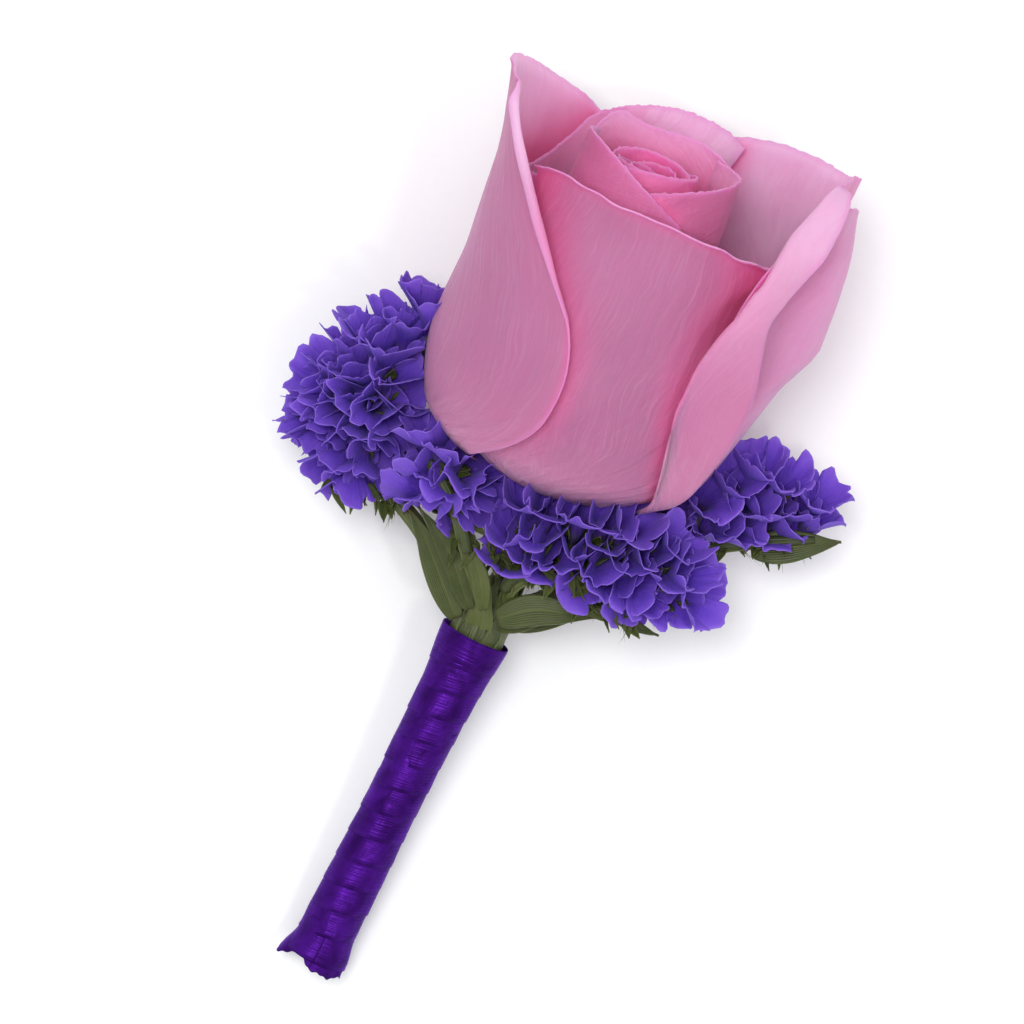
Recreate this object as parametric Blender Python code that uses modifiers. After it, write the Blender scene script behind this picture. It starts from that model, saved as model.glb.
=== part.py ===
"""A boutonniere lying on a table: one mauve-pink rose, short sprays of blue statice round its
base, and the bundled stems wound with a purple satin ribbon. Blender 4.5, metres, +Z up.

The stems run along +Y to the rose. Lengths below are millimetres and angles are degrees; MM
turns finished points into metres. The origin is on the table, under the middle of the whole."""

import math
import random

import bmesh
import bpy
import numpy as np

MM = 0.001

# ---------------------------------------------------------------- driving dimensions
MIDDLE = (-0.57, -7.51)  # the middle of the whole, from the point under the rose's base
ROSE_BASE_HEIGHT = 14.0  # the rose's base above the table
ROSE_TILT = 20.0  # the rose looks up from the table by this much
ROSE_TURN = 7.0  # and is turned this much to the left of its stem
STEM_RUN = 69.5  # from the rose's base back to the cut end, along the table
STEM_END_HEIGHT = 4.05  # the middle of the bundle above the table, at the cut end
WRAP_LENGTH = 48.8  # the ribbon covers this much of the bundle
RIBBON_PITCH = 3.7  # from one turn of the ribbon to the next
WALL = 0.62  # thickness of petals and leaves
GAP = 0.3  # between pieces that touch


def unit(vector):
    return np.asarray(vector, float) / np.linalg.norm(vector)


class Axes:
    """A place with three directions: up a bloom or stem, front to the sky, and right."""

    def __init__(self, origin, up, front=(0, 0, 1)):
        self.origin = np.asarray(origin, float)
        self.up = unit(up)
        self.front = unit(np.asarray(front, float) - self.up * np.dot(front, self.up))
        self.right = np.cross(self.up, self.front)

    def at(self, height, radius, turn):
        """The point at a height and radius, turned from the front to the right."""
        turn = np.radians(turn)
        return (
            self.origin
            + np.multiply.outer(height, self.up)
            + np.multiply.outer(radius * np.cos(turn), self.front)
            + np.multiply.outer(radius * np.sin(turn), self.right)
        )


def heading(turn, tilt):
    turn, tilt = math.radians(turn), math.radians(tilt)
    return (-math.sin(turn) * math.cos(tilt), math.cos(turn) * math.cos(tilt), math.sin(tilt))


ROSE = Axes((0, 0, ROSE_BASE_HEIGHT), heading(ROSE_TURN, ROSE_TILT))
STEM = Axes((0, -STEM_RUN, STEM_END_HEIGHT), (0, STEM_RUN, ROSE_BASE_HEIGHT - STEM_END_HEIGHT))


# ---------------------------------------------------------------- curves
def smooth(points, at):
    """Reads a smooth curve without overshoot through points of (place, value, value...)."""
    points = np.asarray(points, float)
    place, value = points[:, 0], points[:, 1:]
    slope = np.diff(value, axis=0) / np.diff(place)[:, None]
    before, after = slope[:-1], slope[1:]
    inner = np.where(before * after > 0, 2 * before * after / (before + after + 1e-12), 0)
    tangent = np.vstack([slope[:1], inner, slope[-1:]])
    at = np.clip(np.asarray(at, float), place[0], place[-1])
    i = np.clip(np.searchsorted(place, at, side="right") - 1, 0, len(slope) - 1)
    span = (place[i + 1] - place[i])[..., None]
    t = (at - place[i])[..., None] / span
    found = (1 + 2 * t) * (1 - t) ** 2 * value[i] + t * (1 - t) ** 2 * span * tangent[i]
    found += t**2 * (3 - 2 * t) * value[i + 1] + t**2 * (t - 1) * span * tangent[i + 1]
    return found[..., 0] if found.shape[-1] == 1 else found


def along(points, at):
    """A smooth open curve through points, read at shares 0 to 1 of its length."""
    points = np.asarray(points, float)
    ends = np.vstack([2 * points[0] - points[1], points, 2 * points[-1] - points[-2]])
    gaps = np.linalg.norm(np.diff(points, axis=0), axis=1)
    knots = np.concatenate([[0], np.cumsum(gaps)]) / gaps.sum()
    at = np.clip(np.asarray(at, float), 0, 1)
    i = np.clip(np.searchsorted(knots, at, side="right") - 1, 0, len(gaps) - 1)
    t = ((at - knots[i]) / (knots[i + 1] - knots[i]))[..., None]
    a, b, c, d = ends[i], ends[i + 1], ends[i + 2], ends[i + 3]
    cubic = (3 * b - a - 3 * c + d) * t**3
    return 0.5 * (2 * b + (c - a) * t + (2 * a - 5 * b + 4 * c - d) * t**2 + cubic)


def crowded(count, share):
    """Places from 0 to 1 in count steps, crowded towards both ends."""
    t = np.linspace(0, 1, count + 1)
    return (1 - share) * t + share * 0.5 * (1 - np.cos(np.pi * t))


def held_above(points, height):
    """Lifts what is below a height softly up to it, as what lies on a table flattens."""
    low = height - points[..., 2]
    lift = 0.25 * (np.clip(low, -1, 1) + 1) ** 2 + np.clip(low - 1, 0, None)
    points[..., 2] += lift
    return points


# ---------------------------------------------------------------- solids
def clean_object(name, bm):
    mesh = bpy.data.meshes.new(name)
    bmesh.ops.recalc_face_normals(bm, faces=bm.faces)
    bm.to_mesh(mesh)
    bm.free()
    made = bpy.data.objects.new(name, mesh)
    bpy.context.scene.collection.objects.link(made)
    return made


def sheet(name, grid, wall=WALL):
    """A blade: an open grid bent to the given points, and given thickness."""
    rows, columns = grid.shape[:2]
    bm = bmesh.new()
    bmesh.ops.create_grid(bm, x_segments=columns - 1, y_segments=rows - 1, size=1)
    for vertex, point in zip(bm.verts, grid.reshape(-1, 3) * MM):
        vertex.co = point
    bmesh.ops.triangulate(bm, faces=bm.faces, quad_method="FIXED")
    made = clean_object(name, bm)
    solidify = made.modifiers.new("wall", "SOLIDIFY")
    solidify.thickness = wall * MM
    solidify.offset = 0
    return made


def loft(name, rings):
    """A closed body through rings of points. A ring that is one point closes an end."""
    bm = bmesh.new()
    made = [[bm.verts.new(point) for point in np.atleast_2d(ring) * MM] for ring in rings]
    for lower, upper in zip(made, made[1:]):
        count = max(len(lower), len(upper))
        for i in range(count):
            j = (i + 1) % count
            corners = [lower[i % len(lower)], lower[j % len(lower)]]
            corners += [upper[j % len(upper)], upper[i % len(upper)]]
            bm.faces.new(list(dict.fromkeys(corners)))
    for end in (made[0], made[-1]):
        if len(end) > 2:
            bm.faces.new(end)
    return clean_object(name, bm)


def tube(name, path, widths, depths, faces, sides):
    """A stem of oval section along a path: widths across, depths towards faces."""
    forward = np.gradient(path, axis=0)
    rings = []
    for point, ahead, width, depth, face in zip(path, forward, widths, depths, faces):
        face = unit(face - unit(ahead) * np.dot(face, unit(ahead)))
        across = np.cross(unit(ahead), face)
        turn = np.arange(sides) * 2 * math.pi / sides
        oval = np.multiply.outer(0.5 * width * np.cos(turn), across)
        rings.append(point + oval + np.multiply.outer(0.5 * depth * np.sin(turn), face))
    return loft(name, rings)


def combined(first, operation, others):
    """One Boolean of a body with a collection of others, applied. The others are removed."""
    gathered = bpy.data.collections.new("gathered")
    bpy.context.scene.collection.children.link(gathered)
    for piece in others:
        bpy.context.scene.collection.objects.unlink(piece)
        gathered.objects.link(piece)
    boolean = first.modifiers.new("boolean", "BOOLEAN")
    boolean.operation = operation
    boolean.operand_type = "COLLECTION"
    boolean.collection = gathered
    boolean.solver = "MANIFOLD"
    evaluated = first.evaluated_get(bpy.context.evaluated_depsgraph_get())
    made = bpy.data.objects.new(first.name, bpy.data.meshes.new_from_object(evaluated))
    for piece in [first, *others]:
        bpy.data.objects.remove(piece)
    bpy.data.collections.remove(gathered)
    bpy.context.scene.collection.objects.link(made)
    return made


def grown(body):
    """A copy of a finished piece, larger all round by the gap that neighbours keep."""
    bm = bmesh.new()
    bm.from_mesh(body.data)
    for vertex in bm.verts:
        vertex.co += vertex.normal * min(vertex.calc_shell_factor(), 1.6) * GAP * MM
    return clean_object("grown", bm)


def finish(name, body, colour, clear_of=()):
    """Names a piece, cuts it clear of its neighbours and puts it in the boutonniere."""
    if clear_of:
        body = combined(body, "DIFFERENCE", [grown(other) for other in clear_of])
    made = bpy.data.objects.new(name, one_body(body.data))
    made.data.materials.append(colour)
    made.location = (-MIDDLE[0] * MM, -MIDDLE[1] * MM, 0)
    bpy.data.objects.remove(body)
    PARTS.objects.link(made)
    return made


def one_body(mesh):
    """Keeps a mesh's largest body, and drops sealed hollows and loose scraps."""
    bm = bmesh.new()
    bm.from_mesh(mesh)
    bmesh.ops.triangulate(bm, faces=bm.faces)
    left = set(bm.faces)
    bodies = []
    while left:
        body, edge = set(), [left.pop()]
        while edge:
            face = edge.pop()
            body.add(face)
            for link in face.edges:
                for other in link.link_faces:
                    if other in left:
                        left.discard(other)
                        edge.append(other)
        bodies.append(body)
    bodies.sort(key=len)
    for body in bodies[:-1]:
        bmesh.ops.delete(bm, geom=list(body), context="FACES")
    bm.to_mesh(mesh)
    bm.free()
    return mesh


def material(name, colour, roughness):
    made = bpy.data.materials.new(name)
    made.use_nodes = True
    surface = made.node_tree.nodes["Principled BSDF"]
    surface.inputs["Base Color"].default_value = (*colour, 1)
    surface.inputs["Roughness"].default_value = roughness
    surface.inputs["Metallic"].default_value = 0
    return made


# ---------------------------------------------------------------- the rose's petals
# Each petal is drawn on the bloom as on a map: left, rim and right are its edges as points of
# (turn from the front, height), and body is the radius at each height. lift pulls its left
# and right margins outward, and a roll (place, length, angle) curls a margin outward. hugs
# presses it against another petal where its share is small.
OUTSIDE = {"columns": 11, "rows": 10}
PETALS = {
    "front": {
        **OUTSIDE,
        "body": [(0.8, 3), (4, 11.8), (9, 17.4), (18, 19.4), (30, 18), (40, 16.8), (46, 17.2)],
        "left": [(-30, 0.8), (-64, 12), (-72, 27), (-60, 44)],
        "rim": [(-60, 44), (-30, 45.2), (0, 45.4), (40, 44), (70, 41.8)],
        "right": [(30, 0.8), (62, 12), (76, 27), (70, 41.8)],
        "lift": (0, 1.2),
        "roll_rim": [(0, 1.6, 70), (0.6, 1.6, 80), (1, 2.2, 90)],
    },
    "left": {
        **OUTSIDE,
        "body": [(0.8, 4), (4, 14), (9, 19.8), (18, 21.6), (30, 20.6), (40, 20.6), (54, 23)],
        "left": [(-100, 0.8), (-136, 8), (-160, 22), (-168, 36), (-160, 44.5)],
        "rim": [(-160, 44.5), (-139, 48.8), (-118, 51.8), (-102, 53.4), (-84, 53.6), (-66, 51)],
        "right": [(-70, 0.8), (-22, 10), (-7, 19), (-12, 29), (-35, 39.5), (-66, 51)],
        "roll_right": [(0.3, 0, 0), (0.5, 2.6, 120), (1, 3.2, 150)],
        "roll_rim": [(0, 1, 30), (0.5, 3, 40), (1, 5, 70)],
        "rest": 1.4,
    },
    "right": {
        **OUTSIDE,
        "body": [(0.8, 4), (4, 13.8), (9, 19), (18, 21.2), (30, 21.8), (40, 22.6), (54, 24.4)],
        "left": [(62, 0.8), (26, 8), (14, 19), (14, 28), (30, 42), (66, 52)],
        "rim": [(66, 52), (88, 54.5), (112, 51.6), (146, 50), (168, 47)],
        "right": [(100, 0.8), (140, 8), (165, 24), (174, 38), (168, 47)],
        "roll_left": [(0, 0, 0), (0.15, 5, 110), (0.55, 7, 150), (0.85, 6, 120), (1, 3, 70)],
        "roll_rim": [(0, 3, 60), (0.4, 3, 50), (1, 2, 30)],
        "rest": 1.4,
    },
    "far right": {
        "columns": 10,
        "rows": 9,
        "body": [(0.6, 5), (4, 14.4), (9, 18.6), (16, 20.9), (24, 23.5), (31.5, 26.6), (36, 26.6),
                 (45, 25.9), (52, 24.5), (55, 24)],
        "hugs": ("right", 0.5, [(60, 0), (66, 0.1), (73, 0.7), (84, 1)]),
        "left": [(90, 0.6), (60, 9), (54, 18), (51, 24), (46, 31), (47, 37), (54, 44), (66, 51)],
        "rim": [(66, 51), (80, 52), (95, 49.6), (115, 46), (140, 42.5), (165, 40)],
        "right": [(130, 0.6), (162, 10), (178, 20), (180, 32), (165, 40)],
        "rest": 0.31,
    },
    "far left": {
        "columns": 8,
        "rows": 8,
        "body": [(0.6, 5), (4, 15.6), (9, 21), (18, 23.4), (30, 24.4), (42, 26.8)],
        "left": [(-170, 0.6), (-184, 10), (-192, 22), (-186, 34), (-170, 42)],
        "rim": [(-170, 42), (-158, 44.6), (-148, 44.6), (-138, 42.6), (-132, 39)],
        "right": [(-140, 0.6), (-126, 10), (-122, 20), (-124, 31), (-132, 39)],
        "roll_rim": [(0, 2, 50), (0.5, 3, 70), (1, 2, 60)],
        "rest": 0.31,
    },
    "back": {
        "columns": 8,
        "rows": 8,
        "body": [(0.8, 3.4), (4, 12), (9, 16.6), (18, 18), (30, 17.6), (40, 18.2), (50, 20.6)],
        "left": [(170, 0.8), (158, 10), (156, 25), (158, 40), (155, 47.6)],
        "rim": [(155, 47.6), (163, 49), (174, 49.7), (186, 49.4), (202, 48), (212, 46.4)],
        "right": [(194, 0.8), (218, 10), (226, 25), (224, 40), (212, 46.4)],
        "rest": 2.4,
    },
    "inner left": {
        "columns": 10,
        "rows": 7,
        "body": [(3, 11), (9, 14.6), (18, 16.8), (30, 16.6), (40, 16.8), (48, 18)],
        "left": [(-140, 3), (-156, 12), (-170, 26), (-168, 38), (-164, 46.5)],
        "rim": [(-164, 46.5), (-147, 47.5), (-130, 43.4), (-112, 40.6), (-88, 40.6), (-62, 42.4)],
        "right": [(-90, 3), (-68, 12), (-54, 26), (-62, 42.4)],
        "rest": 3.4,
    },
    "inner right": {
        "columns": 8,
        "rows": 7,
        "body": [(3, 11), (9, 14.8), (18, 17), (30, 16.8), (40, 16.6), (48, 17.4)],
        "left": [(80, 3), (62, 12), (56, 26), (60, 31)],
        "rim": [(60, 31), (84, 31), (108, 31), (130, 31), (146, 31)],
        "right": [(130, 3), (146, 12), (154, 26), (146, 31)],
        "rest": 3.4,
    },
}
BUD = {"columns": 9, "rows": 3}
BUD_PETALS = {
    "bud left": {
        **BUD,
        "body": [(34, 9.2), (40, 11), (48, 10.6), (51, 10.8)],
        "left": [(-118, 34), (-118, 47.5)],
        "rim": [(-118, 47.5), (-73, 49), (-43, 48.5), (-12, 46.2), (5, 44.6), (24, 42.6)],
        "right": [(24, 34), (24, 42.6)],
    },
    "bud right": {
        **BUD,
        "body": [(34, 8.4), (40, 9.7), (48, 9.6), (51, 9.8)],
        "left": [(-4, 34), (-4, 45.4)],
        "rim": [(-4, 45.4), (16, 46.5), (35, 47.4), (78, 48.4), (140, 48)],
        "right": [(140, 34), (140, 48)],
    },
    "bud back": {
        **BUD,
        "body": [(34, 9), (40, 10.8), (48, 10.8), (51, 11.2)],
        "left": [(122, 34), (122, 47.2)],
        "rim": [(122, 47.2), (135, 47.9), (162, 48.9), (198, 48.7), (225, 49.9), (248, 47.8)],
        "right": [(248, 34), (248, 47.8)],
    },
}
BUD_CORE = [(0, 3.4), (1.4, 7.2), (3, 9.5), (6, 11), (12, 11.6), (24, 11), (34, 9.6), (40, 8), (41.4, 5)]
CORE_SIDES = 12
SPIRAL_TURNS = 4
SPIRAL_STEP = 137.5  # degrees from one inner petal to the next


def rolled(grid, lengths, angles):
    """Rolls the last columns of a grid outward, as a petal's margin curls back."""
    steps = np.linalg.norm(np.diff(grid, axis=1), axis=2)
    reach = np.cumsum(steps[:, ::-1], axis=1)[:, ::-1]
    reach = np.hstack([reach, np.zeros((len(grid), 1))])
    ahead = np.gradient(grid, axis=1)
    outward = np.cross(ahead, np.gradient(grid, axis=0))
    made = grid.copy()
    for row, (length, angle) in enumerate(zip(lengths, np.radians(angles))):
        if length < 0.01 or abs(angle) < 0.01:
            continue

        def read(values):
            return np.array([np.interp(-length, -reach[row], values[row, :, k]) for k in range(3)])

        crest, tangent = read(grid), unit(read(ahead))
        normal = read(outward)
        normal = unit(normal - tangent * np.dot(normal, tangent))
        past = np.clip(length - reach[row], 0, None)
        turn = past * angle / length
        bent = np.multiply.outer(np.sin(turn), tangent) + np.multiply.outer(1 - np.cos(turn), normal)
        made[row] = np.where(past[:, None] > 0, crest + bent * length / angle, grid[row])
    return made


def petal(spec):
    """The middle surface of one petal: a grid of points, its rows from base to rim."""
    u, v = crowded(spec["columns"], 0.5), crowded(spec["rows"], 0.4)
    left, right, rim = along(spec["left"], v), along(spec["right"], v), along(spec["rim"], u)
    uu, vv = np.meshgrid(u, v)
    a, b = uu[..., None], vv[..., None]
    base = (1 - a) * left[0] + a * right[0]
    chart = (1 - a) * left[:, None] + a * right[:, None] + (1 - b) * base + b * rim[None]
    chart -= (1 - b) * base + b * ((1 - a) * left[-1] + a * right[-1])
    turn, height = chart[..., 0], chart[..., 1]
    lift_left, lift_right = spec.get("lift", (0, 0))
    radius = smooth(spec["body"], height)
    if "hugs" in spec:
        other, gap, shares = spec["hugs"]
        near = smooth(PETALS[other]["body"], height) + gap
        radius = near + (radius - near) * smooth(shares, turn)
    radius += (lift_left * (1 - uu) ** 2 + lift_right * uu**2) * vv**1.5
    grid = ROSE.at(height, radius, turn)
    if "roll_right" in spec:
        grid = rolled(grid, *smooth(spec["roll_right"], v).T)
    if "roll_rim" in spec:
        lengths, angles = smooth(spec["roll_rim"], u).T
        grid = np.swapaxes(rolled(np.swapaxes(grid, 0, 1), lengths, -angles), 0, 1)
    if "roll_left" in spec:
        lengths, angles = smooth(spec["roll_left"], v).T
        grid = rolled(grid[:, ::-1], lengths, -angles)[:, ::-1]
    return held_above(grid, spec.get("rest", 0.31))


def spiral_petal(number):
    """One of the furled petals in the heart of the bud, smaller towards the centre."""
    radius = 7.6 - 1.75 * number
    start = -60 + SPIRAL_STEP * number
    top = 47.4 - 0.5 * number
    reach = 200 + 20 * number
    rim = [(start, top - 1.2), (start + 0.3 * reach, top)]
    rim += [(start + 0.7 * reach, top), (start + reach, top - 1.4)]
    return {
        "columns": 8,
        "rows": 2,
        "body": [(37, radius), (43, radius + 0.3), (48, radius)],
        "left": [(start, 37), (start, top - 1.2)],
        "rim": rim,
        "right": [(start + reach, 37), (start + reach, top - 1.4)],
    }


def rose_bloom(colour):
    turns = np.arange(CORE_SIDES) * 360 / CORE_SIDES
    rings = [ROSE.at(np.full(CORE_SIDES, h), np.full(CORE_SIDES, r), turns) for h, r in BUD_CORE]
    core = loft("core", rings)
    specs = {**PETALS, **BUD_PETALS}
    specs.update({f"spiral {i}": spiral_petal(i) for i in range(SPIRAL_TURNS)})
    blades = [sheet(name, petal(spec)) for name, spec in specs.items()]
    return finish("rose_bloom", combined(core, "UNION", blades), colour)


# ---------------------------------------------------------------- the rose's hip, sepals and stem
ROSE_STEM = 3.3  # diameter of the rose's stem in the binding
HIP = [(-6.5, 3.8), (-4.2, 6.4), (-2.4, 8.2), (-1.2, 8.0), (-GAP, 6.4)]  # height, diameter
SEPALS = 5
SEPAL = [(-1.6, 3.2), (-2.2, 5.6), (-4.6, 6.7), (-7.2, 6.6), (-9.6, 6.0)]  # height, radius
SEPAL_WIDTH = 3.4


def leaf(name, spine, width, face, rows=4, cup=0.12):
    """A lance-shaped blade along a spine, its face turned one way and a little cupped."""
    spine = along(spine, np.linspace(0, 1, rows + 1))
    ahead = np.gradient(spine, axis=0)
    ahead /= np.linalg.norm(ahead, axis=1, keepdims=True)
    facing = face - ahead * np.sum(ahead * np.asarray(face), axis=1, keepdims=True)
    facing /= np.linalg.norm(facing, axis=1, keepdims=True)
    across = np.cross(ahead, facing)
    t = np.linspace(0, 1, rows + 1)
    half = 0.5 * width * np.clip(np.sin(np.pi * (0.16 + 0.8 * t**0.8)), 0.12, 1)
    side = np.linspace(-1, 1, 3)
    out = np.multiply.outer(half, side)[..., None] * across[:, None]
    rise = np.multiply.outer(half, np.abs(side) ** 1.5)[..., None] * facing[:, None]
    return spine[:, None] + out + 2 * cup * rise


def rose_calyx_stem(colour, clear_of):
    straight = [STEM.at(s, 0.0, 0.0) for s in (0.6, 15, 30, 45, 56, 61)]
    path = np.array(straight + [ROSE.at(h, 0.0, 0.0) for h, _ in HIP])
    diameters = [ROSE_STEM] * len(straight) + [d for _, d in HIP]
    faces = [STEM.front] * len(straight) + [ROSE.front] * len(HIP)
    stem = tube("stem", path, diameters, diameters, faces, 8)
    blades = []
    for number in range(SEPALS):
        turn = 36 + 72 * number
        spine = [ROSE.at(h, r, turn) for h, r in SEPAL]
        face = ROSE.at(0, 1.0, turn) - ROSE.origin
        blades.append(sheet(f"sepal {number}", leaf("sepal", spine, SEPAL_WIDTH, face)))
    return finish("rose_calyx_stem", combined(stem, "UNION", blades), colour, clear_of)


# ---------------------------------------------------------------- statice sprays
# seat is where a spray's stem lies round the rose's stem in the binding. branch is its way
# from the neck of the bundle out to its tip, as points before the origin is moved. aim is where
# its florets look, at the branch's start and end. rows are the florets' turns about the branch.
SPRAYS = {
    "left": {
        "seat": -95,
        "branch": [(-5.1, -17.7, 13.5), (-11.6, -12.6, 14), (-18.4, -9.4, 13), (-24.2, -7.0, 11.5),
                   (-28.1, -3.2, 11), (-29.4, 3.0, 11.5), (-28.2, 9.6, 13)],
        "aim": [(-0.3, 0.6, 0.75), (-0.55, 0.25, 0.8)],
        "rows": [(-44, 7.6), (-4, 7.6), (38, 8.2), (80, 9)],
        "columns": 5,
        "first": 0.4,
        "leaves": [
            ([(-3.4, -20.3, 14.2), (-7.6, -16.4, 15), (-11.6, -12.8, 15.8), (-15.6, -10.0, 15.8)], 3.8),
            ([(-17.4, -10.0, 12.6), (-21.6, -9.8, 11.6), (-25.4, -9.0, 10.8)], 1.8),
        ],
    },
    "front_left": {
        "seat": -5,
        "branch": [(-2.2, -15.3, 17.5), (-5.8, -11.8, 20), (-9.1, -8.2, 21.5), (-13.0, -5.2, 22),
                   (-16.9, -3.1, 20.5)],
        "aim": [(-0.3, 0.3, 0.9), (-0.3, 0.5, 0.8)],
        "rows": [(-44, 7.0), (4, 7.4), (52, 8.2)],
        "columns": 3,
        "first": 0.52,
        "leaves": [([(-1.4, -18.1, 16.6), (-4.6, -14.2, 18.0), (-8.0, -10.6, 18.4)], 3.2)],
    },
    "front_right": {
        "seat": 85,
        "branch": [(1.2, -13.0, 17.6), (4.2, -10.6, 20.6), (9.6, -8.2, 22.4), (16.0, -6.2, 22),
                   (20.8, -3.2, 21)],
        "aim": [(-0.3, 0.5, 0.8), (-0.1, 0.4, 0.9)],
        "rows": [(38, 6.6), (0, 7.8), (-38, 9.6), (-72, 11.6)],
        "columns": 4,
        "first": 0.36,
        "leaves": [
            ([(1.4, -17.9, 16.6), (5.0, -14.8, 17.6), (9.0, -13.2, 18.0), (13.0, -12.0, 17)], 4.2),
            ([(9.4, -8.4, 21.8), (12.6, -10.0, 20.6), (15.6, -10.4, 19.4)], 2.0),
            ([(14.4, -6.9, 21.6), (17.6, -8.6, 20.6), (21.4, -8.6, 19.6)], 2.0),
        ],
    },
    "right": {
        "seat": 175,
        "branch": [(3.7, -14.2, 9.5), (11.7, -7.9, 9.5), (21.7, 2.1, 11.5), (29.4, 6.8, 12.5),
                   (36.6, 10.8, 12.5)],
        "aim": [(-0.3, 0.65, 0.7), (-0.2, 0.6, 0.75)],
        "rows": [(34, 7), (-8, 7.6), (-50, 9)],
        "columns": 4,
        "first": 0.46,
        "leaves": [
            ([(2.4, -18.0, 10.4), (7.2, -14.6, 10.6), (12.6, -11.2, 10.6)], 4.2),
            ([(27.4, 5.2, 12.2), (32.6, 8.4, 12.8), (37.6, 11.4, 13.0)], 4.4),
        ],
    },
}
STRIP_WIDTH = 2.6  # a statice stem in the binding
STRIP_DEPTH = 0.8
STRIP_RING = 2.45  # from the middle of the bundle to the middle of a statice stem
CORE = 2.6  # thickness of the clustered flower bases that a spray's florets stand on
FLORET_RADIUS = 3.9
FLORET_DEPTH = 4.4  # from a floret's throat to its rim
NEIGHBOURS = 5.6  # florets of two sprays stand at least this far apart
FLORET_LOBES = 5


def branch_path(spray):
    """The middle line of a spray's stem: up the binding, through the neck and out to the tip."""
    in_wrap = [STEM.at(s, STRIP_RING, spray["seat"]) for s in (0.6, 16, 32, 44)]
    neck = [STEM.at(50.5, 3.3, spray["seat"])]
    return in_wrap, neck + [np.array(p) for p in spray["branch"]]


def aims(spray, path, shares):
    """Where florets look, along a branch: across it, and towards the spray's aim."""
    ahead = np.gradient(path, axis=0)
    ahead /= np.linalg.norm(ahead, axis=1, keepdims=True)
    start, end = (np.array(a) for a in spray["aim"])
    aim = start + np.multiply.outer(shares, end - start)
    aim -= ahead * np.sum(ahead * aim, axis=1, keepdims=True)
    return ahead, aim / np.linalg.norm(aim, axis=1, keepdims=True)


def floret(name, root, direction, side, length, rng):
    """One papery funnel: five pleated lobes round a deep throat, a little squashed."""
    length = length * rng.uniform(0.92, 1.08)
    radius = FLORET_RADIUS * rng.uniform(0.9, 1.1)
    axes = Axes(root, direction, side)
    count = 2 * FLORET_LOBES
    turns = np.arange(count) * 360 / count + rng.uniform(0, 72)
    lobe = np.where(np.arange(count) % 2 == 0, 1.0, 0.0)
    squash = 1 + 0.16 * np.cos(2 * np.radians(turns - rng.uniform(0, 180)))
    rough = np.array([rng.uniform(-1, 1) for _ in range(count)])
    rim = radius * squash * (0.84 + 0.2 * lobe + 0.06 * rough)
    top = length + 0.45 * lobe + 0.3 * rough
    throat = 0.36 * radius * squash
    rings = [
        axes.at(0, 0.0, 0.0)[None],
        axes.at((length - FLORET_DEPTH) * np.ones(count), throat, turns),
        axes.at(top, rim, turns),
        axes.at(length - 0.8 * FLORET_DEPTH, 0.0, 0.0)[None],
    ]
    return loft(name, rings)


def florets(name, spray, path, colour, clear_of):
    """A spray's funnels in staggered rows, fanned round the line of their clustered bases."""
    rng = random.Random(name)
    shares = np.linspace(spray["first"], 1, spray["columns"] * 2 + 1)
    points = along(path, shares)
    ahead, aim = aims(spray, points, shares)
    line = points + (0.5 * CORE + 0.6 + GAP) * aim
    girth = CORE * np.clip(1.3 - shares**6 * 0.7, 0.5, 1)
    core = tube("core", line[::2], girth[::2], girth[::2], aim[::2], 6)
    pieces = []
    mouths = []
    for row, (turn, length) in enumerate(spray["rows"]):
        for column in range(spray["columns"]):
            at = 2 * column + row % 2
            lean = 0.25 + 0.6 * (at / len(shares)) ** 3
            angle = math.radians(turn + rng.uniform(-7, 7))
            side = np.cross(ahead[at], aim[at])
            out = math.cos(angle) * aim[at] + math.sin(angle) * side
            direction = unit(out + (lean + rng.uniform(-0.12, 0.12)) * ahead[at])
            mouth = line[at] + length * direction
            if all(np.linalg.norm(mouth - other) > NEIGHBOURS for other in MOUTHS):
                pieces.append(floret(f"floret {row}.{column}", line[at], direction, ahead[at], length, rng))
                mouths.append(mouth)
    MOUTHS.extend(mouths)
    return finish(name, combined(core, "UNION", pieces), colour, clear_of)


def spray_stem(name, spray, path, colour, clear_of):
    """The green of a spray: a flattened winged stem, lance-shaped leaves and small bracts."""
    in_wrap, outer = path
    shares = np.linspace(0, 1, 9)
    curve = along(outer, shares)
    ahead, aim = aims(spray, curve, shares)
    seat = STEM.at(0, 1.0, spray["seat"]) - STEM.origin
    blend = np.clip(shares * 4, 0, 1)[:, None]
    faces = np.vstack([[seat] * len(in_wrap), (1 - blend) * seat + blend * aim])
    points = np.vstack([in_wrap, curve])
    widths = [STRIP_WIDTH] * 4 + list(smooth([(0, 4.2), (0.3, 4.0), (0.6, 2.4), (1, 0.9)], shares))
    depths = [STRIP_DEPTH] * 4 + list(smooth([(0, 0.9), (0.3, 1.2), (1, 0.7)], shares))
    stem = tube("stem", points, widths, depths, faces, 8)
    pieces = []
    for number, (spine, width) in enumerate(spray["leaves"]):
        pieces.append(sheet(f"leaf {number}", leaf("leaf", spine, width, (0, 0, 1))))
    return finish(name, combined(stem, "UNION", pieces), colour, clear_of)


# ---------------------------------------------------------------- the ribbon
RIBBON_WALL = 0.5
WRAP_RADIUS = [(-6, 4.3), (0, 4.35), (1.4, 4.1), (4, 3.75), (24, 3.6), (40, 3.95),
               (WRAP_LENGTH, 4.75), (56, 5)]
WRAP_RELIEF = 0.3  # how far each turn of ribbon stands over the last
AROUND = 16
ROWS_A_TURN = 3


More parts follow.
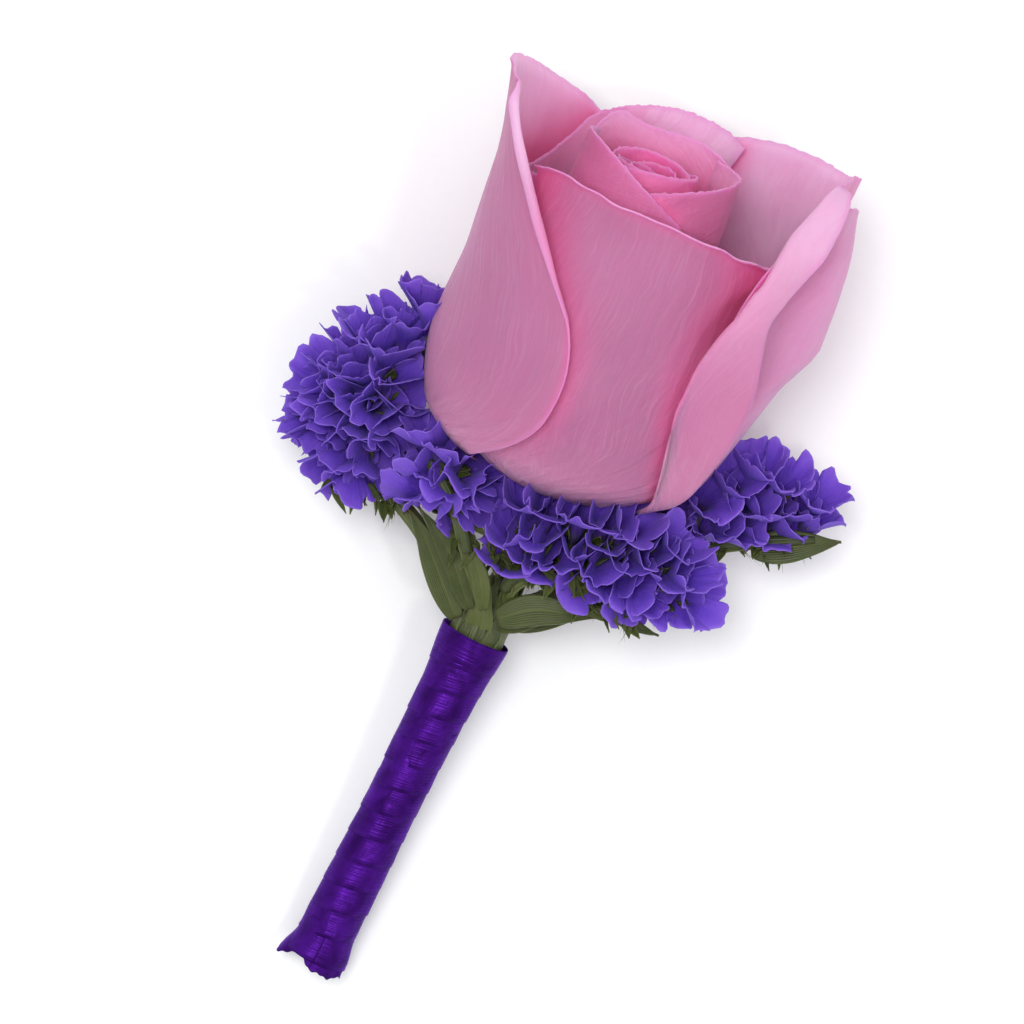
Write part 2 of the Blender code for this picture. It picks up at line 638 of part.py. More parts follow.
def stem_wrap(colour):
    """The ribbon: turns that climb the bundle, each one's lower edge over the one before."""
    turns = np.arange(AROUND) * 360 / AROUND
    rows = int((WRAP_LENGTH + 4 * RIBBON_PITCH) / RIBBON_PITCH * ROWS_A_TURN)
    bm = bmesh.new()
    grid = []
    for row in range(rows):
        climb = (row / ROWS_A_TURN - 2) * RIBBON_PITCH + turns / 360 * RIBBON_PITCH
        relief = WRAP_RELIEF * (1, 0.45, 0)[row % ROWS_A_TURN]
        radius = smooth(WRAP_RADIUS, climb) - relief
        points = STEM.at(climb, radius, turns)
        grid.append([bm.verts.new(point) for point in points * MM])
    for row in range(rows - 1):
        for i in range(AROUND - 1):
            bm.faces.new([grid[row][i], grid[row][i + 1], grid[row + 1][i + 1], grid[row + 1][i]])
        if row + 1 + ROWS_A_TURN < rows:
            far = grid[row + ROWS_A_TURN][0], grid[row + 1 + ROWS_A_TURN][0]
            bm.faces.new([grid[row][-1], far[0], far[1], grid[row + 1][-1]])
    ends = [(STEM.at(0, 0.0, 0.0), -STEM.up), (STEM.at(WRAP_LENGTH, 0.0, 0.0), STEM.up)]
    for place, outward in ends + [(np.zeros(3), np.array((0, 0, -1.0)))]:
        whole = list(bm.verts) + list(bm.edges) + list(bm.faces)
        bmesh.ops.bisect_plane(bm, geom=whole, plane_co=place * MM, plane_no=outward, clear_outer=True)
        bmesh.ops.holes_fill(bm, edges=[e for e in bm.edges if e.is_boundary], sides=0)
    body = clean_object("wound ribbon", bm)
    bore_places = np.array([-1, 0, 2, 5, 24, 40, WRAP_LENGTH, WRAP_LENGTH + 1])
    inner = 2 * (smooth(WRAP_RADIUS, bore_places) - RIBBON_WALL)
    path = STEM.at(bore_places, np.zeros(len(bore_places)), 0)
    bore = tube("bore", path, inner, inner, [STEM.front] * len(path), 12)
    return finish("stem_wrap", combined(body, "DIFFERENCE", [bore]), colour)


# ---------------------------------------------------------------- build
for found in list(bpy.data.objects):
    bpy.data.objects.remove(found)
PARTS = bpy.data.collections.new("boutonniere")
bpy.context.scene.collection.children.link(PARTS)
MOUTHS = []
placed = [rose_bloom(material("rose petals", (0.62, 0.22, 0.40), 0.6))]
placed.append(rose_calyx_stem(material("rose green", (0.10, 0.20, 0.05), 0.6), placed))
statice_blue = material("statice florets", (0.12, 0.07, 0.50), 0.8)
statice_green = material("statice green", (0.16, 0.24, 0.08), 0.7)
for side, found in SPRAYS.items():
    placed.append(spray_stem(f"statice_{side}_stem", found, branch_path(found), statice_green, placed))
for side, found in SPRAYS.items():
    way = branch_path(found)[1]
    placed.append(florets(f"statice_{side}_florets", found, way, statice_blue, placed))
stem_wrap(material("purple satin", (0.06, 0.01, 0.20), 0.4))
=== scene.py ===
"""The looks of a boutonniere on a table: a mauve-pink rose, sprays of blue statice and bundled
stems wound with purple satin ribbon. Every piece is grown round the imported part, whose named
dimensions are repeated here. Lengths are millimetres and angles degrees until a piece is made;
MM turns its points into metres."""

import math
import random

import bpy
import numpy as np
from mathutils import Matrix, Vector
from mathutils.bvhtree import BVHTree


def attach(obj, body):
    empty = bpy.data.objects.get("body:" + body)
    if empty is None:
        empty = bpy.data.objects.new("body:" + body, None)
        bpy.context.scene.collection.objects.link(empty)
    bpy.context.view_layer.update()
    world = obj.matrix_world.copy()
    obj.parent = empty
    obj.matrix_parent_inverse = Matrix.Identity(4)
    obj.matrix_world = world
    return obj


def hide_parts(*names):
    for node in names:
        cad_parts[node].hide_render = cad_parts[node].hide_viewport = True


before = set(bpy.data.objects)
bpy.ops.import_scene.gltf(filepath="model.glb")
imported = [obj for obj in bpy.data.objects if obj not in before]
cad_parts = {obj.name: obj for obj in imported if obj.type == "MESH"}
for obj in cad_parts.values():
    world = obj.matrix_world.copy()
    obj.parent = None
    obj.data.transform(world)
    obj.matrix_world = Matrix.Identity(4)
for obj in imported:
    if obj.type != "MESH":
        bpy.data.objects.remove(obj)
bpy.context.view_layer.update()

MM = 0.001
TAU = 2 * math.pi

# ---------------------------------------------------------------- the part's own dimensions
MIDDLE = (-0.57, -7.51)
ROSE_BASE_HEIGHT = 14.0
ROSE_TILT = 20.0
ROSE_TURN = 7.0
STEM_RUN = 69.5
STEM_END_HEIGHT = 4.05
WRAP_LENGTH = 48.8
RIBBON_PITCH = 3.7


def unit(vector):
    return np.asarray(vector, float) / np.linalg.norm(vector)


def units(vectors):
    return vectors / (np.linalg.norm(vectors, axis=-1, keepdims=True) + 1e-12)


class Axes:
    """A place with three directions: up a bloom or stem, front to the sky, and right."""

    def __init__(self, origin, up, front=(0, 0, 1)):
        self.origin = np.asarray(origin, float)
        self.up = unit(up)
        self.front = unit(np.asarray(front, float) - self.up * np.dot(front, self.up))
        self.right = np.cross(self.up, self.front)

    def at(self, height, radius, turn):
        """The point at a height and radius, turned from the front to the right."""
        turn = np.radians(turn)
        return (
            self.origin
            + np.multiply.outer(height, self.up)
            + np.multiply.outer(radius * np.cos(turn), self.front)
            + np.multiply.outer(radius * np.sin(turn), self.right)
        )


def heading(turn, tilt):
    turn, tilt = math.radians(turn), math.radians(tilt)
    return (-math.sin(turn) * math.cos(tilt), math.cos(turn) * math.cos(tilt), math.sin(tilt))


ROSE = Axes((0, 0, ROSE_BASE_HEIGHT), heading(ROSE_TURN, ROSE_TILT))
STEM = Axes((0, -STEM_RUN, STEM_END_HEIGHT), (0, STEM_RUN, ROSE_BASE_HEIGHT - STEM_END_HEIGHT))


# ---------------------------------------------------------------- curves and waves
def smooth(points, at):
    """Reads a smooth curve without overshoot through points of (place, value, value...)."""
    points = np.asarray(points, float)
    place, value = points[:, 0], points[:, 1:]
    slope = np.diff(value, axis=0) / np.diff(place)[:, None]
    before, after = slope[:-1], slope[1:]
    inner = np.where(before * after > 0, 2 * before * after / (before + after + 1e-12), 0)
    tangent = np.vstack([slope[:1], inner, slope[-1:]])
    at = np.clip(np.asarray(at, float), place[0], place[-1])
    i = np.clip(np.searchsorted(place, at, side="right") - 1, 0, len(slope) - 1)
    span = (place[i + 1] - place[i])[..., None]
    t = (at - place[i])[..., None] / span
    found = (1 + 2 * t) * (1 - t) ** 2 * value[i] + t * (1 - t) ** 2 * span * tangent[i]
    found += t**2 * (3 - 2 * t) * value[i + 1] + t**2 * (t - 1) * span * tangent[i + 1]
    return found[..., 0] if found.shape[-1] == 1 else found


def along(points, at):
    """A smooth open curve through points, read at shares 0 to 1 of its length."""
    points = np.asarray(points, float)
    ends = np.vstack([2 * points[0] - points[1], points, 2 * points[-1] - points[-2]])
    gaps = np.linalg.norm(np.diff(points, axis=0), axis=1)
    knots = np.concatenate([[0], np.cumsum(gaps)]) / gaps.sum()
    at = np.clip(np.asarray(at, float), 0, 1)
    i = np.clip(np.searchsorted(knots, at, side="right") - 1, 0, len(gaps) - 1)
    t = ((at - knots[i]) / (knots[i + 1] - knots[i]))[..., None]
    a, b, c, d = ends[i], ends[i + 1], ends[i + 2], ends[i + 3]
    cubic = (3 * b - a - 3 * c + d) * t**3
    return 0.5 * (2 * b + (c - a) * t + (2 * a - 5 * b + 4 * c - d) * t**2 + cubic)


def crowded(count, share):
    """Places from 0 to 1 in count steps, crowded towards both ends."""
    t = np.linspace(0, 1, count + 1)
    return (1 - share) * t + share * 0.5 * (1 - np.cos(np.pi * t))


def held_above(points, height):
    """Lifts what is below a height softly up to it, as what lies on a table flattens."""
    low = height - points[..., 2]
    lift = 0.25 * (np.clip(low, -1, 1) + 1) ** 2 + np.clip(low - 1, 0, None)
    points[..., 2] += lift
    return points


def ripple(rng, x, y=0.0, count=6):
    """Smooth irregular waves about one unit long, between about -1 and 1."""
    total = 0.0
    for _ in range(count):
        angle = rng.uniform(0, TAU)
        scale = rng.uniform(0.6, 1.5) * TAU
        lean_x, lean_y = math.cos(angle), math.sin(angle)
        total = total + np.sin(scale * (x * lean_x + y * lean_y) + rng.uniform(0, TAU))
    return total / (0.75 * count)


def around_ripple(rng, angle, waves):
    """Waves that close round a circle, one for each (number of waves, size)."""
    return sum(size * np.cos(number * angle + rng.uniform(0, TAU)) for number, size in waves)


# ---------------------------------------------------------------- pieces
def quads(index):
    """The four-sided faces between a grid's points, given by their numbers."""
    corners = [index[:-1, :-1], index[:-1, 1:], index[1:, 1:], index[1:, :-1]]
    return np.stack(corners, -1).reshape(-1, 4)


class Shape:
    """One piece: thin closed sheets and rods gathered into a mesh.

    Each point keeps its place across and along its sheet, and a tone of four numbers: how near
    a margin it is, how warm or pale its sheet is, which on petals holds painted shade, a number of
    its own, which on petals is the painted light of side-lit ones, and its side."""

    def __init__(self):
        self.points = []
        self.corners = []
        self.sizes = []
        self.places = []
        self.tones = []
        self.count = 0

    def add(self, points, faces, places, tones):
        for group in faces:
            self.corners.append((group + self.count).ravel())
            self.sizes.append(np.full(len(group), group.shape[1]))
        self.points.append(points.reshape(-1, 3))
        self.places.append(places.reshape(-1, 2))
        self.tones.append(tones.reshape(-1, 4))
        self.count += points.size // 3

    def sheet(self, grid, wall, places=None, tone=(0, 0, 0), closed=False):
        """A sheet with thickness over a grid of points. closed joins its two side edges."""
        rows, columns = grid.shape[:2]
        if closed:
            across = np.roll(grid, -1, 1) - np.roll(grid, 1, 1)
        else:
            across = np.gradient(grid, axis=1)
        normal = units(np.cross(across, np.gradient(grid, axis=0)))
        half = 0.5 * np.broadcast_to(wall, (rows, columns))[..., None] * normal
        index = np.arange(rows * columns).reshape(rows, columns)
        if closed:
            index = np.hstack([index, index[:, :1]])
        front = quads(index)
        under = rows * columns
        faces = [front, front[:, ::-1] + under]
        edges = [index[0, ::-1], index[-1]]
        if not closed:
            edges += [index[:, 0], index[::-1, -1]]
        for edge in edges:
            corners = [edge[:-1], edge[1:], edge[1:] + under, edge[:-1] + under]
            faces.append(np.stack(corners, -1))
        if places is None:
            u, v = np.linspace(0, 1, columns), np.linspace(0, 1, rows)
            places = np.stack(np.meshgrid(u, v), -1)
        tones = np.ones((2, rows, columns, 4))
        tones[..., :3] = np.asarray(tone, float)
        tones[1, ..., 3] = 0
        points = np.stack([grid + half, grid - half])
        self.add(points, faces, np.stack([places, places]), tones)

    def rod(self, rings, tone=(0, 0, 0)):
        """A closed stem through rings of points."""
        rows, sides = rings.shape[:2]
        index = np.arange(rows * sides).reshape(rows, sides)
        index = np.hstack([index, index[:, :1]])
        faces = [quads(index)]
        total = rows * sides
        first, last = np.full(sides, total), np.full(sides, total + 1)
        faces.append(np.stack([index[0, 1:], index[0, :-1], first], -1))
        faces.append(np.stack([index[-1, :-1], index[-1, 1:], last], -1))
        u, v = np.arange(sides) / sides, np.linspace(0, 1, rows)
        places = np.stack(np.meshgrid(u, v), -1).reshape(-1, 2)
        places = np.vstack([places, [(0.5, 0)], [(0.5, 1)]])
        points = np.vstack([rings.reshape(-1, 3), rings[:1].mean(1), rings[-1:].mean(1)])
        tones = np.broadcast_to(np.array([*tone, 1.0]), (len(points), 4))
        self.add(points, faces, places, tones)

    def piece(self, name, nodes, slot, look):
        """Makes the piece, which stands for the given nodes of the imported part."""
        points = np.vstack(self.points) - (*MIDDLE, 0)
        corners = np.concatenate(self.corners).astype(np.int32)
        sizes = np.concatenate(self.sizes)
        mesh = bpy.data.meshes.new(name)
        mesh.vertices.add(len(points))
        mesh.vertices.foreach_set("co", (points * MM).ravel())
        mesh.loops.add(len(corners))
        mesh.loops.foreach_set("vertex_index", corners)
        mesh.polygons.add(len(sizes))
        mesh.polygons.foreach_set("loop_start", (np.cumsum(sizes) - sizes).astype(np.int32))
        mesh.polygons.foreach_set("use_smooth", np.ones(len(sizes), bool))
        mesh.update(calc_edges=True)
        place = mesh.uv_layers.new(name="place")
        place.data.foreach_set("uv", np.vstack(self.places)[corners].ravel())
        tone = mesh.color_attributes.new("tone", "FLOAT_COLOR", "POINT")
        tone.data.foreach_set("color", np.vstack(self.tones).ravel())
        mesh.materials.append(look)
        made = bpy.data.objects.new(name, mesh)
        bpy.context.scene.collection.objects.link(made)
        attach(made, "root")
        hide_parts(*nodes)


def rings_along(path, faces, across, depth, sides):
    """Rings round a path: each is an oval, across wide and depth thick towards its face."""
    ahead = units(np.gradient(path, axis=0))
    faces = np.broadcast_to(faces, path.shape)
    faces = units(faces - ahead * np.sum(ahead * faces, axis=1, keepdims=True))
    right = np.cross(ahead, faces)
    turn = np.arange(sides) * TAU / sides
    out = 0.5 * (across * np.cos(turn))[..., None] * right[:, None]
    return path[:, None] + out + 0.5 * (depth * np.sin(turn))[..., None] * faces[:, None]


def tube(path, face, width, sides):
    """Rings round a path, as wide as they are deep."""
    width = np.broadcast_to(np.reshape(width, (-1, 1)), (len(path), sides))
    return rings_along(path, face, width, width, sides)


# ---------------------------------------------------------------- materials
class Look:
    """A material of nodes. An input takes a number, a colour or another node's socket."""

    def __init__(self, name):
        self.material = bpy.data.materials.new(name)
        self.material.use_nodes = True
        self.tree = self.material.node_tree
        self.surface = self.tree.nodes["Principled BSDF"]

    def give(self, socket, value):
        if isinstance(value, bpy.types.NodeSocket):
            self.tree.links.new(value, socket)
        else:
            socket.default_value = value

    def node(self, kind, inputs, **settings):
        made = self.tree.nodes.new("ShaderNode" + kind)
        for key, value in settings.items():
            setattr(made, key, value)
        for key, value in inputs.items():
            self.give(made.inputs[key], value)
        return made

    def math(self, operation, first, second=0.0):
        return self.node("Math", {0: first, 1: second}, operation=operation).outputs[0]

    def mix(self, factor, first, second):
        colours = [(*c, 1) if isinstance(c, tuple) else c for c in (first, second)]
        inputs = {0: factor, 6: colours[0], 7: colours[1]}
        return self.node("Mix", inputs, data_type="RGBA").outputs[2]

    def span(self, value, low, high, to_low=0.0, to_high=1.0):
        inputs = {0: value, 1: low, 2: high, 3: to_low, 4: to_high}
        return self.node("MapRange", inputs, clamp=True).outputs[0]

    def tint(self, base, value, span, colour):
        """Mixes a colour in where a value is within a span of (low, high, to low, to high)."""
        return self.mix(self.span(value, *span), base, colour)

    def ramp(self, factor, stops):
        made = self.node("ValToRGB", {0: factor})
        elements = made.color_ramp.elements
        while len(elements) < len(stops):
            elements.new(0.5)
        for element, (place, colour) in zip(elements, stops):
            element.position = place
            element.color = (*colour, 1)
        return made.outputs[0]

    def noise(self, vector, scale, detail=3.0, rough=0.55, distortion=0.0):
        inputs = {"Vector": vector, "Scale": scale, "Detail": detail, "Roughness": rough}
        inputs["Distortion"] = distortion
        return self.node("TexNoise", inputs).outputs[0]

    def stretched(self, vector, scale):
        return self.node("Mapping", {"Vector": vector, "Scale": scale}).outputs[0]

    def streaks(self, vector, stretch, *settings):
        return self.noise(self.stretched(vector, stretch), 1.0, *settings)

    def marks(self):
        """Where a point is on its sheet, its tone's numbers and its place in space."""
        place = self.node("UVMap", {}, uv_map="place").outputs[0]
        parts = self.node("SeparateXYZ", {0: place})
        tone = self.node("Attribute", {}, attribute_name="tone")
        numbers = self.node("SeparateColor", {0: tone.outputs["Color"]})
        space = self.node("TexCoord", {}).outputs["Object"]
        marks = {"place": place, "u": parts.outputs[0], "v": parts.outputs[1], "space": space}
        marks.update({"margin": numbers.outputs[0], "warm": numbers.outputs[1]})
        marks.update({"own": numbers.outputs[2], "side": tone.outputs["Alpha"]})
        return marks

    def bump(self, height, distance, strength=1.0, under=None):
        inputs = {"Height": height, "Distance": distance, "Strength": strength}
        if under is not None:
            inputs["Normal"] = under
        return self.node("Bump", inputs).outputs[0]

    def made(self, **inputs):
        for key, value in inputs.items():
            self.give(self.surface.inputs[key.replace("_", " ")], value)
        return self.material


def petal_look():
    """Velvety petals: fine veins fanning from the base, mauve faces, pink margins, and painted light: deep
    pink painted shade in the folds and low on the inner faces, paler outer faces on side-lit petals, and
    painted highlights on the crinkles.
    """
    look = Look("rose petal")
    m = look.marks()
    waver = look.streaks(m["place"], (6, 5, 1), 3.0)
    bent = look.node("VectorMath", {0: m["place"]}, operation="ADD")
    sideways = look.node("CombineXYZ", {0: look.span(waver, 0, 1, -0.05, 0.05)})
    look.give(bent.inputs[1], sideways.outputs[0])
    bent = bent.outputs[0]
    veins = look.streaks(bent, (34, 2.4, 1), 5.0, 0.65, 0.5)
    fine = look.streaks(bent, (120, 7, 1), 3.0, 0.6, 0.6)
    blotch = look.noise(m["space"], 120.0, 4.0)
    cloud = look.noise(m["space"], 40.0, 2.0)
    # Painted light: a petal's own number is its pale, and its outer face is painted paler by it where
    # light falls on it from the side.
    outer = look.mix(m["own"], (0.375, 0.125, 0.250), (0.64, 0.270, 0.470))
    # Painted shade: the inner face is painted darker and pinker towards its base, deep inside the bloom,
    # and paler towards the rim.
    inner = look.mix(look.span(m["v"], 0.45, 0.9), (0.50, 0.145, 0.30), (0.70, 0.42, 0.60))
    base = look.mix(m["side"], inner, outer)
    # Painted shade: deep pink where the tone's warm number is high, in folds shut in by other petals and
    # on the petals deep in the bloom.
    base = look.mix(m["warm"], base, (0.80, 0.130, 0.350))
    base = look.tint(base, m["v"], (0.1, 0.5, 0.75, 0.0), (0.58, 0.24, 0.38))
    base = look.tint(base, cloud, (0.38, 0.66, 0.0, 0.3), (0.50, 0.22, 0.38))
    base = look.tint(base, veins, (0.45, 0.8, 0.0, 0.13), (0.52, 0.09, 0.27))
    base = look.tint(base, fine, (0.5, 0.8, 0.0, 0.2), (0.66, 0.36, 0.50))
    base = look.tint(base, blotch, (0.5, 0.75, 0.0, 0.2), (0.46, 0.13, 0.29))
    edge = look.span(m["margin"], 0.5, 1.0, 0.0, 0.6)
    base = look.mix(edge, base, (0.58, 0.18, 0.42))
    slant = {"Vector": look.stretched(m["place"], (22, 15, 1)), "Rotation": (0, 0, -0.6)}
    slant = look.stretched(look.node("Mapping", slant).outputs[0], (0.22, 1.5, 1))
    crinkle = look.noise(slant, 1.0, 4.0, 0.6, 0.9)
    crinkle = look.math("MULTIPLY", crinkle, look.span(m["v"], 0.1, 0.75, 1.0, 0.2))
    # The crinkles are painted paler, partly their own pale tissue and partly a painted highlight where
    # light catches their ridges.
    base = look.tint(base, crinkle, (0.42, 0.62, 0.0, 0.35), (0.72, 0.40, 0.53))
    normal = look.bump(crinkle, 0.0010, 0.6)
    normal = look.bump(veins, 0.0003, 0.4, normal)
    normal = look.bump(fine, 0.00010, 0.5, normal)
    return look.made(
        Base_Color=base,
        Roughness=look.span(veins, 0.3, 0.8, 0.5, 0.68),
        Normal=normal,
        Subsurface_Weight=0.55,
        Subsurface_Radius=(1.0, 0.4, 0.6),
        Subsurface_Scale=0.002,
        Sheen_Weight=0.1,
        Sheen_Roughness=0.45,
        Sheen_Tint=(1.0, 0.80, 0.94, 1),
        Specular_IOR_Level=0.25,
    )


def floret_look():
    """Papery funnels: throats painted deep violet-blue as painted shade, paler crumpled rims with fine
    ribs.
    """
    look = Look("statice paper")
    m = look.marks()
    # Painted shade: down the throat the funnel is painted darker violet-blue, paler towards its rim; its
    # foot is green.
    body = look.ramp(
        m["v"],
        [
            (0.0, (0.06, 0.07, 0.02)),
            (0.22, (0.045, 0.014, 0.15)),
            (0.42, (0.045, 0.010, 0.27)),
            (0.72, (0.115, 0.045, 0.46)),
            (0.93, (0.165, 0.075, 0.54)),
            (1.0, (0.22, 0.12, 0.62)),
        ],
    )
    ribs = look.math("PINGPONG", look.math("MULTIPLY", m["u"], 5.0), 0.5)
    ribs = look.span(ribs, 0.0, 0.06, 0.45, 0.0)
    body = look.mix(ribs, body, (0.045, 0.010, 0.25))
    veins = look.streaks(m["place"], (70, 3, 1), 3.0, 0.6, 0.2)
    body = look.tint(body, veins, (0.35, 0.75, 0.0, 0.4), (0.17, 0.085, 0.52))
    crumple = look.noise(m["space"], 420.0, 4.0, 0.6)
    body = look.tint(body, crumple, (0.5, 0.8, 0.0, 0.3), (0.06, 0.012, 0.31))
    body = look.tint(body, m["own"], (0.0, 1.0, 0.0, 0.35), (0.12, 0.045, 0.42))
    normal = look.bump(crumple, 0.0005, 0.4)
    normal = look.bump(veins, 0.0002, 0.5, normal)
    return look.made(
        Base_Color=body,
        Roughness=look.span(crumple, 0.3, 0.7, 0.6, 0.85),
        Normal=normal,
        Subsurface_Weight=0.2,
        Subsurface_Radius=(0.5, 0.35, 1.0),
        Subsurface_Scale=0.0012,
        Sheen_Weight=0.08,
        Sheen_Roughness=0.5,
        Sheen_Tint=(0.75, 0.7, 1.0, 1),
        Specular_IOR_Level=0.2,
    )


def green_look():
    """Stems, leaves and bracts: streaked green, a paler midrib, and browned tips."""
    look = Look("statice green")
    m = look.marks()
    streaks = look.streaks(m["place"], (26, 2.0, 1), 3.0)
    mottle = look.noise(m["space"], 300.0, 4.0)
    base = look.mix(m["warm"], (0.022, 0.034, 0.005), (0.105, 0.125, 0.026))
    base = look.tint(base, streaks, (0.35, 0.7, 0.0, 0.5), (0.055, 0.072, 0.012))
    base = look.tint(base, mottle, (0.5, 0.75, 0.0, 0.35), (0.14, 0.145, 0.055))
    middle = look.math("ABSOLUTE", look.math("SUBTRACT", m["u"], 0.5))
    base = look.tint(base, middle, (0.0, 0.045, 0.5, 0.0), (0.15, 0.18, 0.05))
    cut = look.span(m["v"], 0.0, 0.012, 0.9, 0.0)
    base = look.mix(cut, base, (0.05, 0.028, 0.012))
    tip = look.span(m["v"], 0.86, 1.0, 0.0, 0.6)
    base = look.mix(look.math("MULTIPLY", tip, m["own"]), base, (0.16, 0.07, 0.04))
    rib = look.math("PINGPONG", look.math("MULTIPLY", m["u"], 14.0), 0.5)
    normal = look.bump(rib, 0.0002, 0.5)
    normal = look.bump(mottle, 0.0002, 0.6, normal)
    return look.made(
        Base_Color=base,
        Roughness=look.span(mottle, 0.3, 0.7, 0.42, 0.62),
        Normal=normal,
        Subsurface_Weight=0.1,
        Subsurface_Radius=(0.6, 1.0, 0.3),
        Subsurface_Scale=0.001,
        Specular_IOR_Level=0.45,
    )


def satin_look():
    """Purple satin: fine ribs along the ribbon, soft creases painted darker in their hollows as painted
    shade, and a streak of sheen.
    """
    look = Look("purple satin")
    m = look.marks()
    ribs = look.streaks(m["place"], (1.2, 22, 1), 2.0)
    creases = look.streaks(m["place"], (9, 1.2, 1), 3.0, 0.6, 0.4)
    cloud = look.noise(m["space"], 420.0, 4.0, 0.7)
    # Painted shade: the satin is painted darker in the hollows of its creases and lighter on their ridges.
    base = look.mix(look.span(creases, 0.3, 0.7), (0.022, 0.001, 0.080), (0.062, 0.006, 0.22))
    base = look.tint(base, cloud, (0.45, 0.8, 0.0, 0.4), (0.028, 0.002, 0.085))
    normal = look.bump(creases, 0.0004, 0.5)
    normal = look.bump(ribs, 0.0003, 0.5, normal)
    normal = look.bump(cloud, 0.0002, 0.3, normal)
    return look.made(
        Base_Color=base,
        Roughness=look.span(ribs, 0.3, 0.7, 0.28, 0.42),
        Metallic=0.75,
        Normal=normal,
        Specular_Tint=(0.6, 0.28, 1.0, 1),
        Specular_IOR_Level=0.55,
    )
